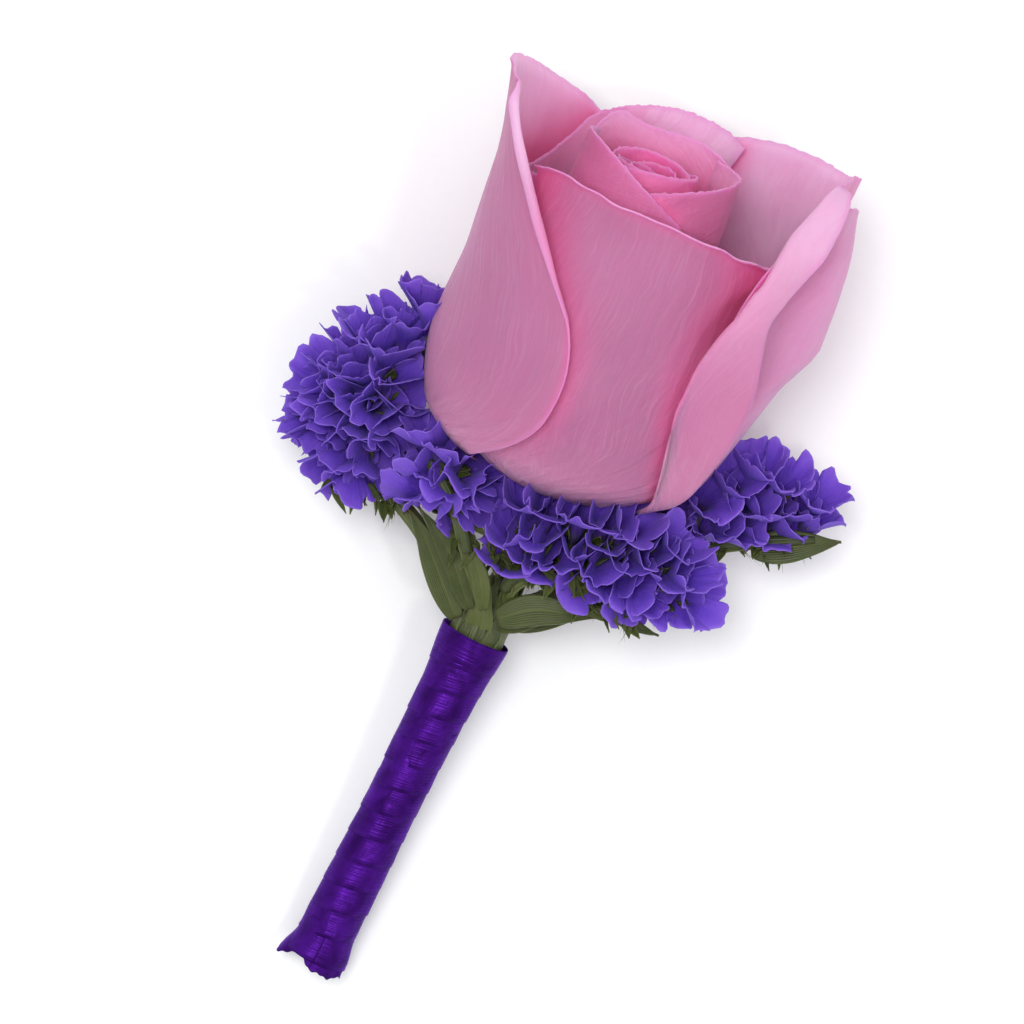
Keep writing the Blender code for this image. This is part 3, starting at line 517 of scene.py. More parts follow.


# ---------------------------------------------------------------- the rose's petals
# Each petal is drawn on the bloom as on a map: left, rim and right are its edges as points of
# (turn from the front, height), and body is the radius at each height. Of the rest,
#   lean    moves its upper part out or in, at each turn
#   hugs    makes it follow another petal: its name, the gap and the share left free at each turn
#   ridge   is the turn past which it dips inward, at each height, and dip is how far
#   roll    curls a margin outward, as (place along it, length, angle), and curl is the share of
#           the length that bends
#   fold    is the free edge of a folded left margin, as (turn, height, radius), and soft the
#           roundness of its crest along it
#   aside   moves it sideways, and rest is the height above the table it is held at
#   warm    is how pink it is, its own pink with painted shade, more on the petals inside the bloom,
#           and pale how much paler its outer face is painted, as painted light on side-lit petals;
#           both from 0 to 1
#   wave    is how far its margin ripples
OUTSIDE = {"columns": 100, "rows": 90}
MIDDLING = {"columns": 72, "rows": 60}
PETALS = {
    "front": {
        **OUTSIDE,
        "body": [(0.8, 3), (4, 11.8), (9, 17.4), (18, 19.4), (30, 18), (40, 16.8), (46, 17.2)],
        "left": [(-30, 0.8), (-64, 12), (-72, 27), (-60, 44)],
        "rim": [(-60, 44), (-42, 45.6), (-22, 45.4), (7, 44.9), (27, 43.9), (52, 42.3), (78, 41.4)],
        "right": [(30, 0.8), (60, 10), (70, 20), (79, 28), (83, 35), (78, 41.4)],
        "lean": [(40, 0), (60, 0.9), (78, 3.0)],
        "roll_rim": [(0, 1.6, 70), (0.6, 1.5, 90), (0.88, 1.6, 120), (1, 2.4, 200)],
        "ridge": [(0, 70), (15, 60), (25, 44), (31, 32), (35, 38), (39, 60), (46, 90)],
        "dip": 2.2,
        "wave": 0.22,
    },
    "left": {
        **OUTSIDE,
        "body": [(0.8, 4), (4, 14), (9, 19.8), (18, 21.6), (30, 20.6), (40, 20.6), (54, 22.6)],
        "left": [(-100, 0.8), (-136, 8), (-160, 22), (-168, 36), (-160, 44.5)],
        "rim": [(-160, 44.5), (-139, 48.8), (-118, 51.8), (-102, 53.4), (-86, 54), (-68, 53)],
        "right": [(-70, 0.8), (-22, 10), (-7, 19), (-12, 29), (-33, 39.5), (-56, 48), (-68, 53)],
        "roll_right": [(0.36, 0, 0), (0.5, 0.6, 90), (0.66, 1.5, 150),
                       (0.8, 1.9, 165), (0.93, 1.7, 150), (1, 0.5, 60)],
        "curl": 0.4,
        "roll_rim": [(0, 1, 30), (0.5, 2.4, 40), (1, 0.6, 20)],
        "rest": 1.4,
        "wave": 0.3,
    },
    "right": {
        **OUTSIDE,
        "body": [(0.8, 4), (4, 13.8), (9, 19), (18, 21.2), (30, 21.8), (40, 22.8), (56, 25.2)],
        "left": [(64, 2.2), (50, 5.6), (42, 10), (36, 16.3), (33.4, 21.7), (34, 24.6), (35.2, 28.5),
                 (38.5, 32.4), (42.4, 35.8), (45.4, 39.9), (50, 43.5), (55.5, 46.6), (60.6, 50),
                 (65, 52.8), (69.5, 54)],
        "fold": [(66, 2.2, 9), (58, 5.6, 16), (58, 10.4, 20.8), (58.5, 17.1, 22.9), (58.5, 23.2, 23.9),
                 (56, 26.5, 24.4), (52.2, 30.1, 24.9), (49.8, 33.4, 25.1), (49, 36.1, 25),
                 (52.8, 39.2, 24.8), (56.6, 42.4, 25.2), (60, 46, 26), (63, 49.3, 26),
                 (66, 52.2, 25.6), (70, 53.6, 24.4)],
        "soft": [(0, 0.5), (0.45, 1.0), (0.62, 2.4), (0.85, 3.0), (1, 0.3)],
        "rim": [(69.5, 54), (77, 53.9), (88, 54.1), (112, 51.6), (146, 50), (168, 47)],
        "right": [(100, 0.8), (140, 8), (165, 24), (174, 38), (168, 47)],
        "lean": [(46, 0), (57, -2.2), (86, -2.0), (100, 0)],
        "roll_rim": [(0, 0, 0), (0.25, 0, 0), (0.5, 2, 40), (1, 2, 30)],
        "rest": 1.4,
        "pale": 0.75,
        "wave": 0.26,
    },
    "far_right": {
        **MIDDLING,
        "body": [(0.6, 5), (4, 14.4), (9, 18.6), (15.7, 20.8), (21.4, 22.6), (24.4, 23.5), (28, 25.2),
                 (31.5, 26.6), (36, 26.6), (42, 26.3), (45, 25.9), (49, 25.1), (52, 24.5), (55, 24)],
        "hugs": ("right", -1.5, [(60, 0), (67, 0.05), (75, 0.75), (84, 1)]),
        "left": [(90, 0.6), (60, 9), (54, 18), (51, 24), (45, 30), (45, 36), (50, 42),
                 (58, 47), (66, 50.6)],
        "rim": [(66, 50.6), (80, 51), (95, 49), (115, 46), (140, 42.5), (165, 40)],
        "right": [(130, 0.6), (162, 10), (178, 20), (180, 32), (165, 40)],
        "roll_rim": [(0, 0, 0), (0.4, 1, 20), (0.7, 3, 50), (1, 2, 40)],
        "rest": 0.31,
        "pale": 0.9,
        "wave": 0.36,
    },
    "far_left": {
        **MIDDLING,
        "body": [(0.6, 5), (4, 15.6), (9, 21), (18, 23.4), (30, 24.4), (42, 26.8)],
        "left": [(-170, 0.6), (-184, 10), (-192, 22), (-186, 34), (-170, 42)],
        "rim": [(-170, 42), (-158, 44.6), (-148, 44.6), (-138, 42.6), (-132, 39)],
        "right": [(-140, 0.6), (-126, 10), (-122, 20), (-124, 31), (-132, 39)],
        "roll_rim": [(0, 2, 50), (0.5, 3, 70), (1, 2, 60)],
        "rest": 0.31,
        "wave": 0.4,
    },
    "back": {
        **MIDDLING,
        "body": [(0.8, 3.4), (4, 12), (9, 16.6), (18, 18), (30, 17.6), (40, 18.2), (50, 20.6)],
        "left": [(170, 0.8), (158, 10), (156, 25), (158, 40), (155, 47.6)],
        "rim": [(155, 47.6), (163, 49), (174, 49.7), (186, 49.4), (202, 48), (212, 46.4)],
        "right": [(194, 0.8), (218, 10), (226, 25), (224, 40), (212, 46.4)],
        "lean": [(134, 3.4), (150, 2.6), (172, 0)],
        "rest": 2.4,
        "pale": 0.9,
        "wave": 0.3,
    },
    "inner_left": {
        **MIDDLING,
        "body": [(3, 11), (9, 14.6), (18, 16.8), (30, 16.6), (40, 16.8), (48, 18)],
        "left": [(-140, 3), (-156, 12), (-170, 26), (-168, 38), (-164, 46.5)],
        "rim": [(-164, 46.5), (-147, 47.5), (-130, 43.4), (-112, 40.6), (-88, 40.6), (-62, 42.4)],
        "right": [(-90, 3), (-68, 12), (-54, 26), (-62, 42.4)],
        "rest": 3.4,
        "warm": 0.2,
        "wave": 0.2,
    },
    "inner_right": {
        **MIDDLING,
        "body": [(3, 11), (9, 14.8), (18, 16.6), (30, 16.2), (40, 15.8), (48, 16.4)],
        "left": [(80, 3), (62, 12), (56, 26), (60, 31)],
        "rim": [(60, 31), (84, 31), (108, 31), (130, 31), (146, 31)],
        "right": [(130, 3), (146, 12), (154, 26), (146, 31)],
        "rest": 3.4,
        "warm": 0.2,
        "wave": 0.2,
    },
}
# warm here is painted shade, deep in the bloom.
BUD = {"columns": 72, "rows": 30, "warm": 0.15, "wave": 0.18}
BUD_PETALS = {
    "bud_left": {
        **BUD,
        "body": [(34, 9.2), (40, 11), (48, 10.6), (51, 10.8)],
        "left": [(-118, 34), (-118, 47.5)],
        "rim": [(-118, 47.5), (-73, 49), (-43, 48.5), (-12, 46.2), (5, 44.6), (24, 42.6)],
        "right": [(24, 34), (24, 42.6)],
    },
    "bud_right": {
        **BUD,
        "body": [(34, 8.4), (40, 9.7), (48, 9.6), (51, 9.8)],
        "left": [(-4, 34), (-4, 45.4)],
        "rim": [(-4, 45.4), (16, 46.5), (35, 47.4), (78, 48.4), (140, 48)],
        "right": [(140, 34), (140, 48)],
    },
    "bud_back": {
        **BUD,
        "body": [(34, 9), (40, 10.8), (48, 10.8), (51, 11.2)],
        "left": [(122, 34), (122, 47.2)],
        "rim": [(122, 47.2), (135, 47.9), (162, 48.9), (198, 48.7), (225, 49.9), (248, 47.8)],
        "right": [(248, 34), (248, 47.8)],
    },
}
BUD_CORE = [(0, 3.4), (1.4, 7.2), (3, 9.5), (6, 11), (12, 11.6), (24, 11), (34, 9.6), (40, 8),
            (41.4, 5)]
CORE_SIDES = 48
SPIRAL_TURNS = 6
SPIRAL_STEP = 137.5
SKY_RAYS = 20
SKY_REACH = 14.0
PETAL_WALL = 0.42
MARGIN_WALL = 0.2
TIGHT_BEND = 0.45  # radius of the sharpest roll
FOLD_COLUMNS = 20
MARGIN_REACH = 1.3  # a petal thins, and turns pinker, this near its margin


def rolled(grid, lengths, angles, curl=1.0):
    """Rolls the last columns of a grid outward, as a petal's margin curls back. The turn is made
    in the first share, curl, of each length, and the rest lies flat."""
    steps = np.linalg.norm(np.diff(grid, axis=1), axis=2)
    reach = np.cumsum(steps[:, ::-1], axis=1)[:, ::-1]
    reach = np.hstack([reach, np.zeros((len(grid), 1))])
    ahead = np.gradient(grid, axis=1)
    outward = np.cross(ahead, np.gradient(grid, axis=0))
    made = grid.copy()
    for row, (length, angle) in enumerate(zip(lengths, np.radians(angles))):
        if length < 0.01 or abs(angle) < 0.01:
            continue

        def read(values):
            return np.array([np.interp(-length, -reach[row], values[row, :, k]) for k in range(3)])

        crest, tangent = read(grid), unit(read(ahead))
        normal = read(outward)
        normal = unit(normal - tangent * np.dot(normal, tangent))
        past = np.clip(length - reach[row], 0, None)
        bend = min(length, max(curl * length, TIGHT_BEND * abs(angle)))
        turn = np.minimum(past, bend) * angle / bend
        sine, cosine = np.sin(turn)[:, None], np.cos(turn)[:, None]
        bent = sine * tangent + (1 - cosine) * normal
        flat = cosine * tangent + sine * normal
        flat *= np.clip(past - bend, 0, None)[:, None]
        made[row] = np.where(past[:, None] > 0, crest + bent * bend / angle + flat, grid[row])
    return made


def folded(spec, grid, v):
    """A petal's left margin folded outward: from the fold's crest round to its free edge, which
    is drawn as points of (turn, height, radius)."""
    crest = np.array(spec["left"], float)
    knots = np.concatenate([[0], np.cumsum(np.linalg.norm(np.diff(crest, axis=0), axis=1))])
    edge = smooth(np.column_stack([knots / knots[-1], spec["fold"]]), v)
    edge = ROSE.at(edge[:, 1], edge[:, 2], edge[:, 0])
    start = grid[:, 0]
    ahead = units(grid[:, 0] - grid[:, 2])
    outward = units(np.cross(np.gradient(start, axis=0), ahead))
    outward *= np.sign(np.sum(outward * (start - ROSE.origin), axis=1))[:, None]
    soft = smooth(spec["soft"], v)[:, None]
    reach = np.linalg.norm(edge - start, axis=1)[:, None]
    soft = np.minimum(soft, 0.5 * reach)
    back = start + 0.35 * (edge - start) + soft * outward
    t = np.linspace(1, 0, FOLD_COLUMNS, endpoint=False)[:, None, None]
    curve = (1 - t) ** 3 * start + 3 * t * (1 - t) ** 2 * (start + soft * ahead)
    curve = curve + 3 * t**2 * (1 - t) * back + t**3 * edge
    return np.swapaxes(curve, 0, 1)


def margin_distance(grid):
    """How far each point of a petal is from its sides and rim, measured over the petal."""
    over = np.linalg.norm(np.diff(grid, axis=1), axis=2)
    up = np.linalg.norm(np.diff(grid, axis=0), axis=2)
    rows, columns = grid.shape[:2]
    from_left = np.hstack([np.zeros((rows, 1)), np.cumsum(over, axis=1)])
    from_right = from_left[:, -1:] - from_left
    to_rim = np.vstack([np.zeros((1, columns)), np.cumsum(up[::-1], axis=0)])[::-1]
    return np.minimum(np.minimum(from_left, from_right), to_rim)


def petal(spec, rng):
    """One petal's middle surface and its points' distances from its margin."""
    u, v = crowded(spec["columns"], 0.5), crowded(spec["rows"], 0.4)
    left, right, rim = along(spec["left"], v), along(spec["right"], v), along(spec["rim"], u)
    uu, vv = np.meshgrid(u, v)
    a, b = uu[..., None], vv[..., None]
    base = (1 - a) * left[0] + a * right[0]
    chart = (1 - a) * left[:, None] + a * right[:, None] + (1 - b) * base + b * rim[None]
    chart -= (1 - b) * base + b * ((1 - a) * left[-1] + a * right[-1])
    turn, height = chart[..., 0], chart[..., 1]
    radius = smooth(spec["body"], height)
    if "hugs" in spec:
        other, gap, shares = spec["hugs"]
        near = smooth(PETALS[other]["body"], height) + gap
        radius = near + (radius - near) * smooth(shares, turn)
    if "lean" in spec:
        radius += smooth(spec["lean"], turn) * np.minimum(2 * vv, 1) ** 1.5
    if "ridge" in spec:
        past = np.clip(turn - smooth(spec["ridge"], height), 0, None)
        radius -= spec["dip"] * (1 - np.exp(-((past / 24) ** 2)))
    grid = ROSE.at(height, radius, turn) + spec.get("aside", 0) * ROSE.right
    curl = spec.get("curl", 1.0)
    if "roll_right" in spec:
        grid = rolled(grid, *smooth(spec["roll_right"], v).T, curl)
    if "roll_rim" in spec:
        lengths, angles = smooth(spec["roll_rim"], u).T
        grid = np.swapaxes(rolled(np.swapaxes(grid, 0, 1), lengths, -angles), 0, 1)
    if "fold" in spec:
        band = folded(spec, grid, v)
        wide = np.linalg.norm(np.diff(band, axis=1), axis=2).sum(1, keepdims=True)
        span = np.linalg.norm(np.diff(grid, axis=1), axis=2).sum(1, keepdims=True)
        over = np.linspace(-1, 0, FOLD_COLUMNS, endpoint=False) * wide / span
        uu = np.hstack([over, uu])
        vv = np.hstack([vv[:, :1] * np.ones(FOLD_COLUMNS), vv])
        grid = np.hstack([band, grid])
    distance = margin_distance(grid)
    normal = units(np.cross(np.gradient(grid, axis=1), np.gradient(grid, axis=0)))
    near = np.exp(-distance / 2.2)
    length = distance.max() * 2
    waves = spec["wave"] * near * ripple(rng, uu * 7, vv * 5)
    waves += 0.10 * ripple(rng, uu * 3.2, vv * 2.2) * np.clip(distance / 4, 0, 1)
    waves += 0.035 * ripple(rng, uu * length / 2.4, vv * 3) * np.clip(distance / 3, 0, 1)
    grid = grid + normal * waves[..., None]
    nibble = 0.16 * near**2 * ripple(rng, uu * 24, vv * 20)
    grid = grid + units(np.gradient(grid, axis=0)) * (nibble * vv**4)[..., None]
    return held_above(grid, spec.get("rest", 0.31)), distance, np.stack([uu, vv], -1)


def spiral_petal(number):
    """One of the furled petals in the heart of the bud, smaller towards the centre."""
    radius = 6.0 - 0.9 * number
    start = -60 + SPIRAL_STEP * number
    top = 47.0 - 0.35 * number
    reach = 200 + 20 * number
    rim = [(start, top - 1.2), (start + 0.3 * reach, top)]
    rim += [(start + 0.7 * reach, top), (start + reach, top - 1.4)]
    return {
        "columns": 72,
        "rows": 16,
        "body": [(37, radius), (43, radius + 0.3), (48, radius)],
        "left": [(start, 37), (start, top - 1.2)],
        "rim": rim,
        "right": [(start + reach, 37), (start + reach, top - 1.4)],
        # warm here is painted shade, deep in the heart of the bud.
        "warm": 0.35,
        "aside": -1.6,
        "wave": 0.2,
    }


def sky_rays():
    """Directions spread evenly over a half sphere about +Z, more of them near its top."""
    found = []
    for number in range(SKY_RAYS):
        rise = math.sqrt(1 - (number + 0.5) / SKY_RAYS)
        turn = number * 2.39996
        flat = math.sqrt(1 - rise * rise)
        found.append((flat * math.cos(turn), flat * math.sin(turn), rise))
    return np.array(found)


def closed_in(grid, tree):
    """How far each point of a petal's two sides is shut in by petals near it, from 0 to 1."""
    rows, columns = grid.shape[:2]
    across, up = np.gradient(grid, axis=1), np.gradient(grid, axis=0)
    normal = units(np.cross(across, up))
    picked_rows = np.unique(np.linspace(0, rows - 1, max(rows // 4, 4)).astype(int))
    picked_columns = np.unique(np.linspace(0, columns - 1, max(columns // 4, 6)).astype(int))
    rays = sky_rays()
    sides = []
    for sign in (1, -1):
        read = np.zeros((len(picked_rows), len(picked_columns)))
        for i, row in enumerate(picked_rows):
            for j, column in enumerate(picked_columns):
                top = sign * normal[row, column]
                first = unit(np.cross(top, (0.31, 0.77, 0.55)))
                start = Vector(grid[row, column] + 0.5 * top)
                turned = rays @ np.array([first, np.cross(top, first), top])
                for ray in turned:
                    hit = tree.ray_cast(start, Vector(ray), SKY_REACH)[3]
                    read[i, j] += 0 if hit is None else 1 - hit / SKY_REACH
        read /= len(rays)
        wide = np.array([np.interp(np.arange(columns), picked_columns, line) for line in read])
        sides.append(np.array([np.interp(np.arange(rows), picked_rows, line) for line in wide.T]).T)
    return np.stack(sides)


def rose_bloom(look):
    turns = np.arange(CORE_SIDES) * 360 / CORE_SIDES
    one = np.ones(CORE_SIDES)
    core = Shape()
    # The bud's core gets the full warm number: painted shade deep in the bloom.
    core.rod(np.stack([ROSE.at(h * one, r * one, turns) for h, r in BUD_CORE]), (0, 1, 0))
    specs = {**PETALS, **BUD_PETALS}
    specs.update({f"spiral_{i}": spiral_petal(i) for i in range(SPIRAL_TURNS)})
    grown = {name: petal(spec, random.Random(name)) for name, spec in specs.items()}
    corners, faces = [], []
    for grid, _, _ in grown.values():
        coarse = grid[::3, ::3]
        index = np.arange(coarse.size // 3).reshape(coarse.shape[:2]) + len(corners)
        corners.extend(coarse.reshape(-1, 3).tolist())
        faces.extend(quads(index).tolist())
    tree = BVHTree.FromPolygons(corners, faces)
    for name, spec in specs.items():
        grid, distance, places = grown[name]
        near = np.exp(-distance / MARGIN_REACH)
        wall = PETAL_WALL + (MARGIN_WALL - PETAL_WALL) * near
        shut = closed_in(grid, tree)
        tone = np.zeros((*shut.shape, 3))
        tone[..., 0] = near
        # Painted shade: the second tone number is the petal's warm plus deep pink painted where other
        # petals shut it in.
        tone[..., 1] = np.clip(spec.get("warm", 0) + 1.5 * shut, 0, 1)
        # Painted light: the third tone number is the petal's pale, which paints the outer faces of
        # side-lit petals paler.
        tone[..., 2] = spec.get("pale", 0)
        heart = name.startswith("spiral")
        shape = core if heart else Shape()
        shape.sheet(grid, wall, places, tone)
        if not heart:
            shape.piece(f"petal_{name}", ["rose_bloom"], "rose_petals", look)
    core.piece("rose_heart", ["rose_bloom"], "rose_petals", look)


# ---------------------------------------------------------------- the rose's hip, sepals and stem
ROSE_STEM = 3.3
HIP = [(-6.5, 3.8), (-4.2, 6.4), (-2.4, 8.2), (-1.2, 8.0), (0.4, 6.4)]
SEPALS = 5
SEPAL = [(-1.6, 3.2), (-2.2, 5.6), (-4.6, 6.7), (-7.2, 6.6), (-9.6, 6.0)]
SEPAL_WIDTH = 3.4


def leaf(spine, width, face, rng, rows=28, columns=10, cup=0.12):
    """A lance-shaped blade along a spine: cupped, creased along its midrib, its margins wavy."""
    t = np.linspace(0, 1, rows + 1)
    spine = along(spine, t)
    ahead = units(np.gradient(spine, axis=0))
    facing = units(face - ahead * np.sum(ahead * np.asarray(face, float), axis=1, keepdims=True))
    across = np.cross(ahead, facing)
    half = 0.5 * width * np.clip(np.sin(np.pi * (0.14 + 0.86 * t**0.8)), 0.02, 1)
    side = np.linspace(-1, 1, columns + 1)
    out = np.multiply.outer(half, side)[..., None] * across[:, None]
    rise = 2 * cup * np.multiply.outer(half, np.abs(side) ** 1.5)
    rise += 0.16 * width / 4 * np.abs(side) ** 2 * ripple(rng, t[:, None] * 3, side * 0.6)
    rise -= 0.1 * np.exp(-((side / 0.12) ** 2))
    return spine[:, None] + out + rise[..., None] * facing[:, None]


def rose_calyx_stem(look):
    straight = [STEM.at(s, 0.0, 0.0) for s in (0.6, 15, 30, 45, 56, 61)]
    path = np.array(straight + [ROSE.at(h, 0.0, 0.0) for h, _ in HIP])
    diameters = np.array([ROSE_STEM] * len(straight) + [d for _, d in HIP])
    share = np.linspace(0, 1, 60)
    knots = np.linspace(0, 1, len(path))
    wide = smooth(np.column_stack([knots, diameters]), share)
    line = smooth(np.column_stack([knots, path]), share)
    shape = Shape()
    shape.rod(tube(line, (0, 0, 1), wide, 24), (0, 0.3, 0))
    rng = random.Random("sepals")
    for number in range(SEPALS):
        turn = 36 + 72 * number
        spine = [ROSE.at(h, r, turn) for h, r in SEPAL]
        face = ROSE.at(0, 1.0, turn) - ROSE.origin
        shape.sheet(leaf(spine, SEPAL_WIDTH, face, rng), 0.35, tone=(0, 0.3, 0.4))
    shape.piece("rose_calyx", ["rose_calyx_stem"], "rose_green", look)


# ---------------------------------------------------------------- statice sprays
# seat is the side of the bundle a stem runs down, and branch its middle line from the neck. Its
# florets look along aim, which changes from one end to the other, and stand from the share first
# of the branch to last. band is where their mouths are, as (x, y, z, half width). brush is where
# bristly bracts hang, as (start, end, number). strips are blades that stand in the ribbon's top,
# as (turn, width, paleness), and leaves are blades on a spine, as (points, width).
SPRAYS = {
    "left": {
        "seat": -95,
        "branch": [(-5.1, -17.7, 13.5), (-11.6, -12.6, 14), (-18.4, -9.4, 13), (-24.2, -7.0, 11.5),
                   (-28.1, -3.2, 11), (-29.4, 3.0, 11.5), (-28.2, 9.6, 13)],
        "aim": [(-0.3, 0.6, 0.75), (-0.55, 0.25, 0.8)],
        "first": 0.4,
        "last": 0.98,
        "band": [(-25.6, 17.4, 19, 2.6), (-27.3, 12.4, 20, 4.2), (-28.6, 6.2, 20, 6.2),
                 (-28.0, 0.2, 20, 8.4), (-26.6, -5.6, 18, 8.6), (-28.2, -10.4, 14, 6.6)],
        "brush": [((-26.0, -10.6, 13), (-16.4, -9.4, 15), 22)],
        "strips": [(-78, 4.2, 0.75), (-108, 3.6, 0.6)],
        "leaves": [
            ([(-3.4, -20.3, 14.2), (-7.6, -16.4, 15), (-11.6, -12.8, 15.8), (-15.6, -10.0, 15.8)], 3.8),
            ([(-17.4, -10.0, 12.6), (-21.6, -9.8, 11.6), (-25.4, -9.0, 10.8)], 1.8),
        ],
    },
    "front_left": {
        "seat": -5,
        "branch": [(-2.2, -15.3, 17.5), (-5.8, -11.8, 20), (-9.1, -8.2, 21.5), (-13.0, -5.2, 22),
                   (-16.9, -3.1, 20.5)],
        "aim": [(-0.3, 0.3, 0.9), (-0.3, 0.5, 0.8)],
        "first": 0.5,
        "last": 1.0,
        "band": [(-20.6, -2.2, 20, 4.4), (-16.9, -1.8, 23, 4.8), (-12.9, -2.6, 24, 5.0),
                 (-8.4, -4.7, 24, 5.1), (-4.8, -5.8, 24, 4.9)],
        "brush": [((-9.0, -8.8, 20), (-4.0, -9.4, 20), 14)],
        "strips": [(-36, 4.6, 0.5), (-12, 3.6, 0.2)],
        "leaves": [
            ([(-0.7, -17.6, 18.4), (-3.5, -13.4, 20.4), (-8.1, -9.8, 20.4)], 2.4),
            ([(-2.4, -18.4, 16.4), (-6.6, -14.1, 18.2), (-10.4, -11.4, 18.8), (-14.3, -9.3, 18.6)], 2.8),
        ],
    },
    "front_right": {
        "seat": 85,
        "branch": [(1.2, -13.0, 17.6), (4.2, -10.6, 19.6), (9.6, -8.2, 20.0), (16.0, -6.2, 19.4),
                   (20.8, -4.6, 17.6)],
        "aim": [(-0.3, 0.5, 0.8), (-0.1, 0.4, 0.9)],
        "first": 0.3,
        "last": 1.0,
        "band": [(-2.1, -4.6, 25, 5.3), (4.6, -3.2, 26, 6.7), (12.4, -2.4, 26, 7.4), (18.6, -3.2, 24, 7.2),
                 (22.6, -6.8, 19, 5.0)],
        "brush": [((-3.0, -9.4, 20), (6, -8.8, 21), 26), ((6, -8.8, 21), (16, -9.4, 19), 40)],
        "strips": [(18, 4.2, 0.15), (48, 4.4, 0.45)],
        "leaves": [
            ([(1.4, -17.9, 16.6), (5.0, -14.8, 17.6), (9.0, -13.2, 18.0), (13.0, -12.0, 17)], 4.2),
            ([(8.4, -10.0, 18.6), (11.6, -11.2, 17.6), (15.6, -11.6, 16.4)], 2.0),
            ([(13.4, -9.4, 18.2), (17.0, -10.6, 17.2), (21.4, -10.4, 16.4)], 2.0),
        ],
    },
    "right": {
        "seat": 175,
        "branch": [(3.7, -14.2, 9.5), (11.7, -7.9, 9.5), (21.7, 2.1, 11.5), (29.4, 6.8, 12.5),
                   (36.6, 10.8, 12.5)],
        "aim": [(-0.3, 0.65, 0.7), (-0.2, 0.6, 0.75)],
        "first": 0.45,
        "last": 0.95,
        "band": [(15.6, 4.8, 20, 3.1), (20.5, 9.0, 20, 4.2), (24.8, 13.3, 18, 5.3), (29.4, 15.0, 16, 4.7),
                 (34.0, 15.6, 14, 2.9)],
        "brush": [((18.0, 2.6, 14), (33.0, 9.6, 12), 24)],
        "strips": [(82, 4.2, 0.7), (112, 3.6, 0.6)],
        "leaves": [
            ([(2.4, -18.0, 10.4), (7.2, -14.6, 10.6), (12.6, -11.2, 10.6)], 4.2),
            ([(1.8, -18.8, 13.8), (5.3, -15.9, 15.0), (8.4, -12.6, 15.6)], 3.0),
            ([(27.4, 5.2, 12.2), (32.6, 8.4, 12.8), (37.6, 11.4, 13.0)], 4.4),
        ],
    },
}
STRIP_WIDTH = 2.6
STRIP_DEPTH = 0.8
STRIP_RING = 2.45
CORE = 2.6
STALK = 0.8
ANY_FACE = (0.1, 0.2, 1)  # for round stalks and hairs, which have no face of their own
BLOOM_MIDDLE = np.array([0.0, 22.0, 0.0])
BAND_RISE = 3.6
BAND_DROP = 2.2
NEIGHBOURS = 3.3  # between florets, which stand at least nine tenths of this apart
FLORET_AROUND = 72
FLORET_PROFILE = [(0, 0.7), (0.3, 1.1), (0.45, 1.6), (0.6, 2.4), (0.8, 3.4), (1, 4.2)]
FLORET_SHARES = [0, 0.16, 0.3, 0.4, 0.5, 0.58, 0.66, 0.74, 0.81, 0.87, 0.92, 0.96, 1]
FLORET_WALL = 0.11
LOBES = 5
TOUCH = -0.9  # florets press no nearer to each other than this
REST = 0.15  # the ribbon's middle surface above the table


def branch_path(spray):
    """The middle line of a spray's stem: up the binding, through the neck and out to the tip."""
    in_wrap = [STEM.at(s, STRIP_RING, spray["seat"]) for s in (0.6, 16, 32, 44)]
    neck = [STEM.at(50.5, 3.3, spray["seat"])]
    return in_wrap, neck + [np.array(p) for p in spray["branch"]]


def aims(spray, path, shares):
    """Where florets look, along a branch: across it, and towards the spray's aim."""
    ahead = units(np.gradient(path, axis=0))
    start, end = (np.array(a) for a in spray["aim"])
    aim = start + np.multiply.outer(shares, end - start)
    aim -= ahead * np.sum(ahead * aim, axis=1, keepdims=True)
    return ahead, units(aim)


def floret_places(name, spray, taken):
    """Adds a spray's florets to those taken: their mouths fill a band of (x, y, z, half width)
    beside the bloom, higher near the bloom, and none is too near another."""
    rng = random.Random(name)
    line = np.array(spray["band"], float)
    length = np.linalg.norm(np.diff(line[:, :3], axis=0), axis=1).sum()
    count = int(length / (0.87 * NEIGHBOURS)) + 1
    for row in range(count + 1):
        share = np.clip((row + rng.uniform(-0.15, 0.15)) / count, 0, 1)
        x, y, z, half = along(line, [share])[0]
        before, after = along(line[:, :2], [max(share - 0.05, 0), min(share + 0.05, 1)])
        across = unit((*(after - before), 0))
        across = np.array([-across[1], across[0], 0])
        across *= 1 if np.dot(across, BLOOM_MIDDLE - (x, y, 0)) > 0 else -1
        steps = max(round(2 * half / NEIGHBOURS), 1)
        start = spray["first"] + (spray["last"] - spray["first"]) * share
        branch = along(branch_path(spray)[1], [start, min(start + 0.02, 1)])
        for column in range(steps + row % 2):
            side = (column + 0.5) / (steps + row % 2) * 2 - 1 + rng.uniform(-0.08, 0.08)
            rise = BAND_RISE * side - BAND_DROP * side**2 + rng.uniform(-0.7, 0.7)
            mouth = np.array([x, y, z + rise]) + (half - 0.6) * side * across
            mouth += [rng.uniform(-0.5, 0.5), rng.uniform(-0.5, 0.5), 0]
            direction = unit(mouth - branch[0] + (0, 0, 2.0))
            reach = min(np.linalg.norm(mouth - branch[0]), rng.uniform(6.6, 8.6))
            if all(np.linalg.norm(mouth - other["mouth"]) > 0.9 * NEIGHBOURS for other in taken):
                root = mouth - reach * direction
                side = unit(branch[1] - branch[0])
                taken.append({"root": root, "direction": direction, "mouth": mouth, "reach": reach,
                              "side": side, "spray": name, "from": branch[0]})


